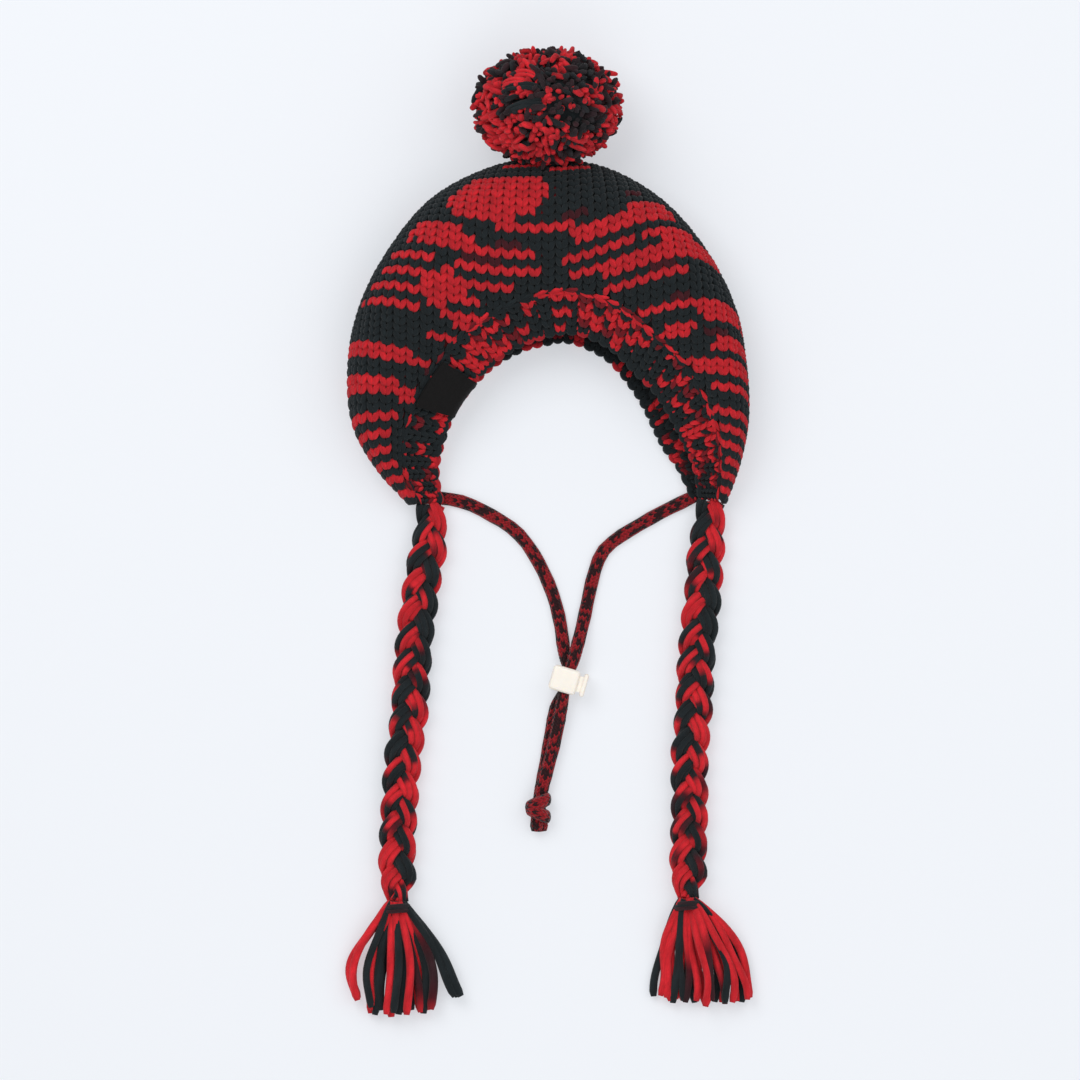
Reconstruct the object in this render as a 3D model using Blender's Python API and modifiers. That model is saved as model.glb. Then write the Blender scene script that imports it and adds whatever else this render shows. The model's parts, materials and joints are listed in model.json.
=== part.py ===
"""A chunky knitted pet beanie lying on its back: an arched, hollow crown with ear flaps, a ribbed rim band,
a pompom, two plaited ties with tassels and an adjustable chin cord. Metres, +Z up. +Y points from the flap
tips to the pompom. The origin is on the flattened underside of the crown, in its middle."""

import math
from collections import namedtuple

import bmesh
import bpy
import numpy as np
from mathutils import Matrix, Vector

# The hat seen from above
CROWN_WIDTH = 0.200
CROWN_HEIGHT = 0.170
TIP_DROP = 0.130
PUFF_HEIGHT = 0.052
KNIT_WALL = 0.0045
THIN_WALL_SHARE = 0.3
SEAM_GAP = 0.0009

# The ribbed rim band round the opening
BAND_WIDTH = 0.0205
BAND_WALL = 0.0048
BAND_SHARE_AT_TIP = 0.61
RIB_PITCH = 0.0078
RIB_RELIEF = 0.0005
TIP_REACH = 0.25
SCALLOP = 0.0012
SEAM_RISE = 0.80
EDGE_RISE = 0.55

# The woven label folded over the band
LABEL_WALL = 0.0009
LABEL_GAP = 0.0004
LABEL_WIDTH = 0.021
LABEL_AT = 3.55
LABEL_REACH = 0.6
LABEL_TUCK = 0.62

# The pompom
POMPOM_WIDTH = 0.075
POMPOM_LENGTH = 0.059
POMPOM_THICKNESS = 0.062
POMPOM_NEST = 0.0007
LOCK_COUNT = 42
LOCK_RADIUS = 0.0062
CORE_SHARE = 0.83

# The plaited ties
BRAID_LENGTH = 0.198
BRAID_GAP = 0.0004
STRAND_RADIUS = 0.0026
STRAND_FLATTEN = 0.75
STRAND_SWING = 0.0068
STRAND_LIFT = 0.0044
PLAIT_PITCH = 0.0405
STRAND_POINTS = 42

# The tassels and the yarn tied round their necks
TASSEL_LENGTH = 0.0495
TASSEL_NECK = 0.0046
TIE_RADIUS = 0.0013
TIE_GAP = 0.0003
TASSEL_YARN = 0.0030

# The chin cord, its lock and its knot
CORD_WIDTH = 0.0066
CORD_THICKNESS = 0.0026
CORD_POINTS = 27
CORD_SEAT = 0.0011
CORD_SEAT_PLACE = 0.30
CORD_LEAD = 0.0045
LOCK_X = 0.0092
LOCK_Y = -0.2196
LOCK_TILT = math.radians(-16.0)
BARREL_LEFT = 0.0080
BARREL_RIGHT = 0.0059
BARREL_ACROSS = 0.0126
BARREL_THICKNESS = 0.0116
BARREL_BEVEL = 0.0017
CORD_HOLE_WIDTH = 0.0080
CORD_HOLE_HEIGHT = 0.0062
CORD_HOLE_AT = -0.0004
CHAMBER_WALL = 0.0018
STEM_ACROSS = 0.0080
STEM_THICKNESS = 0.0078
STEM_END = 0.0013
LOCK_CLEARANCE = 0.0003
BUTTON_TRAVEL = 0.0018
BUTTON_HEAD = 0.0024
BUTTON_ACROSS = 0.0118
BUTTON_THICKNESS = 0.0108
KNOT_X = -0.0049
KNOT_Y = -0.2846
KNOT_WRAP = 0.0037
KNOT_CORD = 0.0026
STUB_LENGTH = 0.0095

DARK_YARN = (0.022, 0.030, 0.034, 1.0)
RED_YARN = (0.54, 0.020, 0.028, 1.0)
MIXED_YARN = (0.25, 0.022, 0.028, 1.0)
CORD_RED = (0.20, 0.010, 0.014, 1.0)
LABEL_BLACK = (0.012, 0.012, 0.013, 1.0)
LOCK_IVORY = (0.86, 0.81, 0.70, 1.0)

# Stations round the arch from the left flap tip over the top to the right flap tip. The x columns are shares
# of half the crown's width and the y columns shares of its height above the flap tips: fold is where the knit
# folds over to the back, edge the front rim. puff is a share of PUFF_HEIGHT, and back_reach, a share of
# BAND_WIDTH, is how far the back rim shows past the front one.
Station = namedtuple("Station", "fold_x fold_y edge_x edge_y puff back_reach")
STATIONS = (
    Station(-0.700, -0.009, -0.530, -0.009, 0.28, 0.00),
    Station(-0.850, 0.088, -0.555, 0.088, 0.42, 0.00),
    Station(-0.970, 0.212, -0.530, 0.171, 0.56, 0.00),
    Station(-1.000, 0.353, -0.475, 0.259, 0.68, 0.00),
    Station(-0.965, 0.524, -0.390, 0.332, 0.80, 0.00),
    Station(-0.835, 0.700, -0.280, 0.400, 0.90, 0.02),
    Station(-0.590, 0.882, -0.140, 0.453, 0.97, 0.07),
    Station(-0.265, 0.982, -0.015, 0.479, 1.00, 0.12),
    Station(0.010, 1.000, 0.075, 0.491, 1.00, 0.15),
    Station(0.290, 0.976, 0.185, 0.482, 1.00, 0.20),
    Station(0.570, 0.882, 0.320, 0.441, 0.97, 0.22),
    Station(0.790, 0.735, 0.440, 0.371, 0.90, 0.27),
    Station(0.935, 0.565, 0.540, 0.312, 0.80, 0.40),
    Station(0.990, 0.397, 0.615, 0.241, 0.69, 0.46),
    Station(1.000, 0.241, 0.675, 0.171, 0.57, 0.46),
    Station(0.960, 0.112, 0.725, 0.100, 0.42, 0.36),
    Station(0.895, 0.000, 0.755, 0.006, 0.28, 0.15),
)

LAST_PLACE = len(STATIONS) - 1

# The crown's outer skin across one station, from the back seam round the fold to the front seam: across is a
# share of the way from the fold to the seam, and rise a share of the puff.
SkinPoint = namedtuple("SkinPoint", "across rise")
SKIN = (
    SkinPoint(1.00, 0.00),
    SkinPoint(0.68, 0.00),
    SkinPoint(0.34, 0.00),
    SkinPoint(0.18, 0.025),
    SkinPoint(0.085, 0.09),
    SkinPoint(0.03, 0.19),
    SkinPoint(0.00, 0.34),
    SkinPoint(0.012, 0.50),
    SkinPoint(0.055, 0.67),
    SkinPoint(0.13, 0.82),
    SkinPoint(0.24, 0.93),
    SkinPoint(0.38, 0.99),
    SkinPoint(0.56, 1.00),
    SkinPoint(0.79, 0.93),
    SkinPoint(1.00, SEAM_RISE),
)
CROWN_STATIONS = 34

# The ties' middle lines: down is a share of BRAID_LENGTH below the flap tip, and sideways the same share to
# the right of it.
Step = namedtuple("Step", "down sideways")
LEFT_TIE = (
    Step(0.00, 0.000),
    Step(0.10, -0.004),
    Step(0.24, -0.030),
    Step(0.50, -0.054),
    Step(0.76, -0.080),
    Step(1.00, -0.086),
)
RIGHT_TIE = (
    Step(0.00, 0.000),
    Step(0.12, -0.012),
    Step(0.37, -0.034),
    Step(0.62, -0.052),
    Step(0.85, -0.056),
    Step(1.00, -0.060),
)
LEFT_TIE_TOP = (-0.585, -0.009)
RIGHT_TIE_TOP = (0.815, 0.000)

# One row for each lock of a tassel: how far it ends to the side and how long it is, as shares of the tassel's
# length, and its layer, 0 on the surface and 1 on top.
Lock = namedtuple("Lock", "side length layer")
LEFT_LOCKS = (
    Lock(-0.36, 0.90, 0),
    Lock(-0.28, 0.95, 1),
    Lock(-0.18, 0.99, 0),
    Lock(-0.07, 0.98, 1),
    Lock(0.02, 1.00, 0),
    Lock(0.12, 0.99, 1),
    Lock(0.22, 1.00, 0),
    Lock(0.33, 0.98, 1),
    Lock(0.45, 0.96, 0),
    Lock(0.64, 0.88, 0),
)
RIGHT_LOCKS = (
    Lock(-0.36, 0.86, 0),
    Lock(-0.26, 0.92, 1),
    Lock(-0.16, 0.95, 0),
    Lock(-0.04, 0.98, 1),
    Lock(0.08, 1.00, 0),
    Lock(0.20, 0.99, 1),
    Lock(0.31, 0.99, 0),
    Lock(0.43, 0.95, 1),
    Lock(0.54, 0.88, 0),
    Lock(0.68, 0.74, 0),
)

# The chin cord's two legs, from beside the flap tips through the lock to the knot. They lie on the surface, and
# the right leg climbs onto the left one where they meet. x, y and z of the middle line, and the lock's pinch.
Route = namedtuple("Route", "x y z pinch")
FLOOR_Z = CORD_THICKNESS / 2 + 0.0001
LOWER_Z = BARREL_THICKNESS / 2 - 0.00145
UPPER_Z = BARREL_THICKNESS / 2 + 0.00145
STACK_Z = FLOOR_Z + CORD_THICKNESS + 0.0004
PINCH = 0.85
LEFT_LEG = (
    Route(-0.0415, -0.1305, FLOOR_Z, 1.0),
    Route(-0.0345, -0.1338, FLOOR_Z, 1.0),
    Route(-0.0265, -0.1382, FLOOR_Z, 1.0),
    Route(-0.0185, -0.1432, FLOOR_Z, 1.0),
    Route(-0.0110, -0.1508, FLOOR_Z, 1.0),
    Route(-0.0035, -0.1630, FLOOR_Z, 1.0),
    Route(0.0025, -0.1770, FLOOR_Z, 1.0),
    Route(0.0062, -0.1905, FLOOR_Z, 1.0),
    Route(0.0084, -0.2020, 0.0020, 1.0),
    Route(0.0100, -0.2092, 0.0034, 0.94),
    Route(0.0109, -0.2145, LOWER_Z, PINCH),
    Route(0.0097, -0.2197, LOWER_Z, PINCH),
    Route(0.0081, -0.2251, LOWER_Z, PINCH),
    Route(0.0060, -0.2330, 0.0032, 0.96),
    Route(0.0038, -0.2420, FLOOR_Z, 1.0),
    Route(0.0016, -0.2530, FLOOR_Z, 1.0),
    Route(-0.0010, -0.2640, FLOOR_Z, 1.0),
    Route(-0.0032, -0.2735, FLOOR_Z, 1.0),
    Route(-0.0040, -0.2772, FLOOR_Z, 0.9),
)
RIGHT_LEG = (
    Route(0.0660, -0.1312, FLOOR_Z, 1.0),
    Route(0.0565, -0.1358, FLOOR_Z, 1.0),
    Route(0.0450, -0.1423, FLOOR_Z, 1.0),
    Route(0.0335, -0.1495, FLOOR_Z, 1.0),
    Route(0.0268, -0.1562, FLOOR_Z, 1.0),
    Route(0.0232, -0.1655, FLOOR_Z, 1.0),
    Route(0.0210, -0.1745, FLOOR_Z, 1.0),
    Route(0.0184, -0.1870, 0.0019, 1.0),
    Route(0.0163, -0.1960, 0.0042, 1.0),
    Route(0.0142, -0.2032, 0.0063, 1.0),
    Route(0.0122, -0.2095, 0.0072, 0.94),
    Route(0.0109, -0.2145, UPPER_Z, PINCH),
    Route(0.0097, -0.2197, UPPER_Z, PINCH),
    Route(0.0081, -0.2251, UPPER_Z, PINCH),
    Route(0.0064, -0.2330, 0.0066, 0.96),
    Route(0.0046, -0.2420, 0.0050, 1.0),
    Route(0.0022, -0.2530, STACK_Z, 1.0),
    Route(-0.0006, -0.2640, STACK_Z, 1.0),
    Route(-0.0030, -0.2735, STACK_Z, 1.0),
    Route(-0.0038, -0.2772, STACK_Z, 0.9),
)


def clear_scene():
    for thing in list(bpy.data.objects):
        bpy.data.objects.remove(thing)


def collection(name):
    made = bpy.data.collections.new(name)
    bpy.context.scene.collection.children.link(made)
    return made


def finish_material(name, colour, roughness, metallic=0.0):
    made = bpy.data.materials.new(name)
    made.use_nodes = True
    shader = made.node_tree.nodes["Principled BSDF"]
    shader.inputs["Base Color"].default_value = colour
    shader.inputs["Roughness"].default_value = roughness
    shader.inputs["Metallic"].default_value = metallic
    return made


def through(table, count=None, at=None):
    """A smooth curve through a table's rows, as an array with a row for each place asked for."""
    rows = np.array(table, float)
    if at is None:
        at = np.linspace(0, len(rows) - 1, count)
    at = np.clip(np.asarray(at, float), 0, len(rows) - 1)
    i = np.minimum(at.astype(int), len(rows) - 2)
    t = (at - i)[:, None]
    before = np.where((i > 0)[:, None], rows[np.maximum(i - 1, 0)], 2 * rows[i] - rows[i + 1])
    last = len(rows) - 1
    after = np.where((i + 2 <= last)[:, None], rows[np.minimum(i + 2, last)], 2 * rows[i + 1] - rows[i])
    a, b = rows[i], rows[i + 1]
    return 0.5 * (2 * a + (b - before) * t + (2 * before - 5 * a + 4 * b - after) * t**2
                  + (3 * a - before - 3 * b + after) * t**3)


def evenly_along(points, count):
    """The points of a line again, count of them, spaced evenly along it."""
    along = np.concatenate([[0], np.cumsum(np.linalg.norm(np.diff(points, axis=0), axis=1))])
    at = np.linspace(0, along[-1], count)
    return np.stack([np.interp(at, along, column) for column in points.T], axis=1)


class Section:
    """One cut across the arch: the fold, the direction to the rim, the seam, the rim and the puff."""

    def __init__(self, row):
        station = Station(*row)
        half = CROWN_WIDTH / 2
        fold = np.array([station.fold_x * half, station.fold_y * CROWN_HEIGHT - TIP_DROP])
        edge = np.array([station.edge_x * half, station.edge_y * CROWN_HEIGHT - TIP_DROP])
        self.fold = fold
        self.width = float(np.linalg.norm(edge - fold))
        self.inward = (edge - fold) / self.width
        at_tip = BAND_SHARE_AT_TIP * self.width
        self.band = (BAND_WIDTH**-4 + at_tip**-4) ** -0.25
        self.seam = self.width - self.band
        self.puff = station.puff * PUFF_HEIGHT
        self.back_reach = station.back_reach * BAND_WIDTH

    def point(self, across, z):
        """A point this far in from the fold and this high."""
        flat = self.fold + self.inward * across
        return (flat[0], flat[1], z)

    def back_rim(self):
        """The rim of the back panel, in plan."""
        return np.array(self.point(self.width + self.back_reach, 0.0))[:2]


def sections_at(places):
    return [Section(row) for row in through(STATIONS, at=places)]


def run_along(across_of, first=0.0):
    """Places round the arch, and how far each lies along the line that runs across_of in from the fold."""
    places = np.linspace(first, LAST_PLACE - first, 12 * LAST_PLACE + 1)
    line = np.array([s.point(across_of(s), 0.0) for s in sections_at(places)])
    return places, np.concatenate([[0], np.cumsum(np.linalg.norm(np.diff(line, axis=0), axis=1))])


def object_from(name, mesh, material, group):
    mesh.name = name
    mesh.materials.clear()
    mesh.materials.append(material)
    made = bpy.data.objects.new(name, mesh)
    group.objects.link(made)
    return made


def smooth(mesh, angle=50.0):
    mesh.shade_smooth()
    mesh.set_sharp_from_angle(angle=math.radians(angle))


def sheet_mesh(name, grid):
    """An open sheet through a grid of points, rows by columns."""
    rows, columns = grid.shape[:2]
    mesh = bmesh.new()
    points = [[mesh.verts.new(p) for p in row] for row in grid]
    for i in range(rows - 1):
        for j in range(columns - 1):
            mesh.faces.new((points[i][j], points[i][j + 1], points[i + 1][j + 1], points[i + 1][j]))
    made = bpy.data.meshes.new(name)
    mesh.to_mesh(made)
    mesh.free()
    return made


def loft_mesh(name, rings):
    """A closed solid through rings of points, with a cap on each end and its faces turned outwards."""
    mesh = bmesh.new()
    points = [[mesh.verts.new(p) for p in ring] for ring in rings]
    for ring, following in zip(points, points[1:]):
        for j in range(len(ring)):
            k = (j + 1) % len(ring)
            mesh.faces.new((ring[j], ring[k], following[k], following[j]))
    mesh.faces.new(points[0])
    mesh.faces.new(points[-1])
    bmesh.ops.recalc_face_normals(mesh, faces=mesh.faces)
    made = bpy.data.meshes.new(name)
    mesh.to_mesh(made)
    mesh.free()
    return made


def apply_modifiers(thing):
    """The object's mesh becomes its evaluated mesh, and its modifiers go."""
    bpy.context.view_layer.update()
    graph = bpy.context.evaluated_depsgraph_get()
    mesh = bpy.data.meshes.new_from_object(thing.evaluated_get(graph))
    thing.modifiers.clear()
    thing.data = mesh


def fuse(thing, others, cutters, itself=False):
    """Joins the others into the object with a Boolean union each."""
    for other in others:
        cutters.objects.link(other)
        other.hide_render = True
        other.display_type = "WIRE"
        union = thing.modifiers.new("join_" + other.name, "BOOLEAN")
        union.operation = "UNION"
        union.use_self = itself
        union.object = other
    apply_modifiers(thing)


def build_crown(material, group):
    """The knitted pouch: its outer skin lofted round the arch, and a wall inside it that thins at the tips."""
    places, along = run_along(lambda s: 0.7 * s.seam, first=0.03)
    sections = sections_at(np.interp(np.linspace(0, along[-1], CROWN_STATIONS), along, places))
    skin = np.array(SKIN)
    grid = np.array([
        [s.point(across * (s.seam - SEAM_GAP / 2), rise * s.puff) for across, rise in skin] for s in sections
    ])
    mesh = sheet_mesh("crown", grid)
    crown = object_from("crown", mesh, material, group)
    thinned = crown.vertex_groups.new(name="wall")
    for i, section in enumerate(sections):
        share = min(1.0, section.seam / (4 * KNIT_WALL), section.puff / (5 * KNIT_WALL))
        first = i * len(skin)
        thinned.add(list(range(first, first + len(skin))), share, "REPLACE")
    wall = crown.modifiers.new("wall", "SOLIDIFY")
    wall.thickness = KNIT_WALL
    wall.offset = -1.0
    wall.use_even_offset = False
    wall.vertex_group = thinned.name
    wall.thickness_vertex_group = THIN_WALL_SHARE
    apply_modifiers(crown)
    smooth(crown.data)
    return crown


def rib_height(index, place):
    """1 on a crest and 0 in a dip, and 0.5 near the tips and under the label, where the ribs are pressed flat."""
    near_label = abs(place - LABEL_AT) < LABEL_REACH
    near_tip = min(place, LAST_PLACE - place) < TIP_REACH
    if near_label or near_tip:
        return 0.5
    return float(index % 2 == 0)


def front_band_frame(section):
    """Where the front band's top starts and ends across the section, and the directions along and out of it."""
    start = np.array([section.seam + SEAM_GAP / 2, SEAM_RISE * section.puff])
    end = np.array([section.width, EDGE_RISE * section.puff])
    along = (end - start) / np.linalg.norm(end - start)
    return start, end, along, np.array([-along[1], along[0]])


def front_band_ring(section, rib):
    start, end, along, out = front_band_frame(section)
    relief = out * RIB_RELIEF * (2 * rib - 1)
    scallop = along * SCALLOP * (rib - 0.5)
    wall = out * BAND_WALL
    middle = start + 0.45 * (end - start)
    near_edge = start + 0.88 * (end - start)
    outline = (
        start,
        middle + relief + out * RIB_RELIEF,
        near_edge + relief,
        end - wall * 0.3 + scallop,
        end - wall * 0.75 + scallop,
        near_edge - wall,
        start - np.array([0.0, BAND_WALL]),
    )
    return [section.point(across, z) for across, z in outline]


def back_band_ring(section, rib):
    start = section.seam + SEAM_GAP / 2
    end = section.width + section.back_reach
    top = BAND_WALL + RIB_RELIEF * (2 * rib - 1)
    scallop = SCALLOP * (rib - 0.5)
    near_edge = start + 0.88 * (end - start)
    outline = (
        (start, 0.0),
        (near_edge, 0.0),
        (end + scallop, BAND_WALL * 0.3),
        (end + scallop, BAND_WALL * 0.7),
        (near_edge, top),
        (start + 0.45 * (end - start), top),
        (start, BAND_WALL),
    )
    return [section.point(across, z) for across, z in outline]


def band_rings(ring_of, reach_share):
    """The rings of a strip of the band, one on each rib's crest and one in each dip, evenly along its rim."""
    places, along = run_along(lambda s: s.width + reach_share * s.back_reach)
    ribs = round(along[-1] / RIB_PITCH)
    at = np.interp(np.linspace(0, along[-1], 2 * ribs + 1), along, places)
    return [ring_of(s, rib_height(i, place)) for i, (s, place) in enumerate(zip(sections_at(at), at))]


def build_band(material, group, cutters):
    """The ribbed band round the opening: a front and a back strip that meet in the flap tips."""
    band = object_from("rim_band", loft_mesh("rim_band", band_rings(front_band_ring, 0.0)), material, group)
    back_mesh = loft_mesh("back_strip", band_rings(back_band_ring, 1.0))
    back_strip = bpy.data.objects.new("back_strip", back_mesh)
    fuse(band, [back_strip], cutters)
    smooth(band.data)
    return band


def label_ring(section):
    """The label's folded strip across the band: down its face, round the rim and back up inside."""
    start, end, along, out = front_band_frame(section)
    clear = LABEL_GAP + RIB_RELIEF
    inside = end + (start - end) * LABEL_TUCK
    near = []
    far = []
    for offset, line in ((clear, near), (clear + LABEL_WALL, far)):
        line.append(start + along * 0.0006 + out * offset)
        line.append((start + end) / 2 + out * (offset + RIB_RELIEF * 0.8))
        line.append(end + out * offset * 0.8 - along * 0.0006)
        line.append(end + along * (offset + 0.0002) - out * BAND_WALL * 0.3)
        line.append(end + along * (offset + 0.0002) - out * BAND_WALL * 0.75)
        line.append(end - along * 0.0012 - out * (BAND_WALL + offset))
        line.append(inside - out * (BAND_WALL + offset))
    return [section.point(across, z) for across, z in near + far[::-1]]


def build_label(material, group):
    """A plain woven label folded over the rim band on the left side."""
    places, along = run_along(lambda s: s.width)
    middle = np.interp(LABEL_AT, places, along)
    spans = np.linspace(middle - LABEL_WIDTH / 2, middle + LABEL_WIDTH / 2, 6)
    rings = [label_ring(s) for s in sections_at(np.interp(spans, along, places))]
    label = object_from("side_label", loft_mesh("side_label", rings), material, group)
    smooth(label.data, 40.0)
    return label


def fibonacci_directions(count):
    """Directions spread evenly over a ball."""
    turn = math.pi * (3 - math.sqrt(5))
    for i in range(count):
        height = 1 - 2 * (i + 0.5) / count
        round_it = math.sqrt(1 - height * height)
        yield Vector((round_it * math.cos(turn * i), round_it * math.sin(turn * i), height))


def build_pompom(material, group, cutters):
    """A ball of yarn locks: blunt tufts fused to a core, squashed a little where it lies."""
    radii = Vector((POMPOM_WIDTH, POMPOM_LENGTH, POMPOM_THICKNESS)) / 2
    top = STATIONS[len(STATIONS) // 2]
    centre = Vector((
        top.fold_x * CROWN_WIDTH / 2,
        top.fold_y * CROWN_HEIGHT - TIP_DROP + radii.y - POMPOM_NEST,
        radii.z + 0.0002,
    ))
    core = bmesh.new()
    bmesh.ops.create_icosphere(core, subdivisions=2, radius=1.0)
    bmesh.ops.transform(core, matrix=Matrix.Diagonal((*(radii * CORE_SHARE), 1.0)), verts=core.verts)
    bmesh.ops.translate(core, vec=centre, verts=core.verts)
    mesh = bpy.data.meshes.new("pompom")
    core.to_mesh(mesh)
    core.free()
    pompom = object_from("pompom", mesh, material, group)
    tufts = bmesh.new()
    for i, direction in enumerate(fibonacci_directions(LOCK_COUNT)):
        tip = Vector(a * b for a, b in zip(direction, radii))
        outward = tip.normalized()
        reach = tip.length * (0.985 if i % 3 else 0.95)
        depth = reach * 0.45
        start = len(tufts.verts)
        bmesh.ops.create_cone(
            tufts, cap_ends=True, segments=5, radius1=LOCK_RADIUS * 0.75, radius2=LOCK_RADIUS, depth=depth
        )
        tufts.verts.ensure_lookup_table()
        turn = outward.to_track_quat("Z", "Y").to_matrix().to_4x4()
        place = Matrix.Translation(centre + outward * (reach - depth / 2))
        bmesh.ops.transform(tufts, matrix=place @ turn, verts=tufts.verts[start:])
    for vertex in tufts.verts:
        vertex.co.z = max(vertex.co.z, 0.0)
    mesh = bpy.data.meshes.new("pompom_locks")
    tufts.to_mesh(mesh)
    tufts.free()
    locks = bpy.data.objects.new("pompom_locks", mesh)
    fuse(pompom, [locks], cutters, itself=True)
    smooth(pompom.data, 40.0)
    return pompom


def tube(name, points, radius, material, group, pinches, flatten):
    """A cord as a bevelled line through points. flatten squashes its round section towards the floor."""
    curve = bpy.data.curves.new(name, "CURVE")
    curve.dimensions = "3D"
    curve.bevel_depth = radius
    curve.bevel_resolution = 2
    curve.use_fill_caps = True
    line = curve.splines.new("POLY")
    line.points.add(len(points) - 1)
    for i, (point, (x, y, z)) in enumerate(zip(line.points, points)):
        point.co = (x, y, z / flatten, 1.0)
        point.radius = pinches[i]
    curve.materials.append(material)
    made = bpy.data.objects.new(name, curve)
    made.scale.z = flatten
    group.objects.link(made)
    return made


def tie_line(top, steps, count):
    """The middle line of a plaited tie, count points from its flap tip to its neck."""
    down, sideways = through(steps, at=np.linspace(0, len(steps) - 1, 200)).T
    x = top[0] * CROWN_WIDTH / 2 + sideways * BRAID_LENGTH
    y = top[1] * CROWN_HEIGHT - TIP_DROP - BRAID_GAP - down * BRAID_LENGTH
    return evenly_along(np.stack([x, y], axis=1), count)


def plait_squeeze(share):
    """How full the plait is along its length: drawn in at the flap tip and tight at the neck."""
    top = 0.80 + 0.20 * np.clip((share - 0.02) / 0.10, 0, 1)
    neck = 0.60 + 0.40 * np.clip((0.98 - share) / 0.07, 0, 1)
    return np.minimum(top, neck)


def build_braid(side, top, steps, material, group):
    """Three strands over and under each other: each swings to both sides once and dips twice a pitch.

    Their first and last stretches run straight, so that their ends lie flat against the flap and the tassel."""
    line = tie_line(top, steps, STRAND_POINTS)
    ahead = np.gradient(line, axis=0)
    ahead /= np.linalg.norm(ahead, axis=1)[:, None]
    aside = np.stack([-ahead[:, 1], ahead[:, 0]], axis=1)
    share = np.linspace(0, 1, STRAND_POINTS)
    full = plait_squeeze(share)
    straight = 1.0 / (STRAND_POINTS - 1)
    turning = np.clip(share, straight, 1 - straight) * BRAID_LENGTH / PLAIT_PITCH
    middle_z = STRAND_LIFT + STRAND_RADIUS * STRAND_FLATTEN + 0.0003
    for number in range(3):
        phase = 2 * math.pi * (turning + number / 3)
        swing = STRAND_SWING * full * np.sin(phase)
        lift = STRAND_LIFT * full * np.sin(2 * phase)
        flat = line + aside * swing[:, None]
        points = np.column_stack([flat, middle_z + lift])
        name = f"braid_{side}_strand_{number + 1}"
        tube(name, points, STRAND_RADIUS, material, group, pinches=full, flatten=STRAND_FLATTEN)


def build_tassel(side, top, steps, locks, material, group, cutters):
    """The tie's yarn ends below its neck: a gathered head with locks fanned out over the surface."""
    line = tie_line(top, steps, 40)
    end = line[-1]
    middle_z = TASSEL_NECK + TIE_GAP + 2 * TIE_RADIUS + 0.0003
    neck_length = 4 * TIE_RADIUS
    rings = []
    for down, radius in ((BRAID_GAP, 0.9), (neck_length / 2, 1.0), (neck_length, 1.0), (2.1 * neck_length, 1.3)):
        turn = np.linspace(0, 2 * math.pi, 10, endpoint=False)
        size = TASSEL_NECK * radius
        ring = np.column_stack([
            end[0] + size * np.cos(turn), np.full(len(turn), end[1] - down), middle_z + size * np.sin(turn)
        ])
        rings.append(ring)
    mesh = loft_mesh(f"tassel_{side}", rings)
    tassel = object_from(f"tassel_{side}", mesh, material, group)
    fan = bmesh.new()
    for lock in locks:
        start = Vector((end[0] + lock.side * TASSEL_NECK * 0.55, end[1] - neck_length * 1.2, middle_z))
        stop_z = TASSEL_YARN * (0.62 + 1.25 * lock.layer)
        stop = Vector((
            end[0] + lock.side * TASSEL_LENGTH,
            end[1] - lock.length * TASSEL_LENGTH,
            stop_z,
        ))
        bend = Vector((end[0] + lock.side * TASSEL_LENGTH * 0.62, end[1] - lock.length * TASSEL_LENGTH * 0.5,
                       0.55 * stop_z + 0.45 * middle_z))
        add_lock(fan, start, bend, stop)
    mesh = bpy.data.meshes.new(f"tassel_{side}_locks")
    fan.to_mesh(mesh)
    fan.free()
    strips = bpy.data.objects.new(f"tassel_{side}_locks", mesh)
    fuse(tassel, [strips], cutters, itself=True)
    smooth(tassel.data, 40.0)
    build_tie(side, end, middle_z, neck_length, material, group)


def add_lock(mesh, start, bend, stop):
    """One lock of yarn as a six-sided tube that widens from its start through its bend to its stop."""
    rings = []
    for share, size in ((0.0, 0.55), (0.5, 0.9), (1.0, 1.0)):
        point = start * (1 - share) ** 2 + bend * 2 * share * (1 - share) + stop * share**2
        ahead = (bend - start) * (1 - share) + (stop - bend) * share
        aside = Vector((-ahead.y, ahead.x, 0)).normalized()
        over = ahead.normalized().cross(aside)
        ring = []
        for k in range(6):
            turn = math.pi * (k + 0.5) / 3
            ring.append(point + aside * (TASSEL_YARN * size * 0.95 * math.cos(turn))
                        + over * (TASSEL_YARN * size * 0.62 * math.sin(turn)))
        rings.append([mesh.verts.new((p.x, p.y, max(p.z, 0.0001))) for p in ring])
    for ring, following in zip(rings, rings[1:]):
        for k in range(6):
            mesh.faces.new((ring[k], ring[(k + 1) % 6], following[(k + 1) % 6], following[k]))
    caps = [mesh.faces.new(rings[0]), mesh.faces.new(rings[-1])]
    shell = set(caps)
    for ring in rings:
        for vertex in ring:
            shell.update(vertex.link_faces)
    bmesh.ops.recalc_face_normals(mesh, faces=list(shell))


def build_tie(side, end, middle_z, neck_length, material, group):
    """The yarn wound round the tassel's neck."""
    bpy.ops.mesh.primitive_torus_add(
        major_segments=14,
        minor_segments=6,
        major_radius=TASSEL_NECK + TIE_GAP + TIE_RADIUS,
        minor_radius=TIE_RADIUS,
        rotation=(math.pi / 2, 0, 0),
        location=(end[0], end[1] - neck_length * 0.75, middle_z),
    )
    ring = bpy.context.object
    for holder in list(ring.users_collection):
        holder.objects.unlink(ring)
    group.objects.link(ring)
    ring.name = f"tassel_tie_{side}"
    ring.data.name = ring.name
    ring.data.materials.append(material)
    smooth(ring.data, 80.0)


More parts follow.
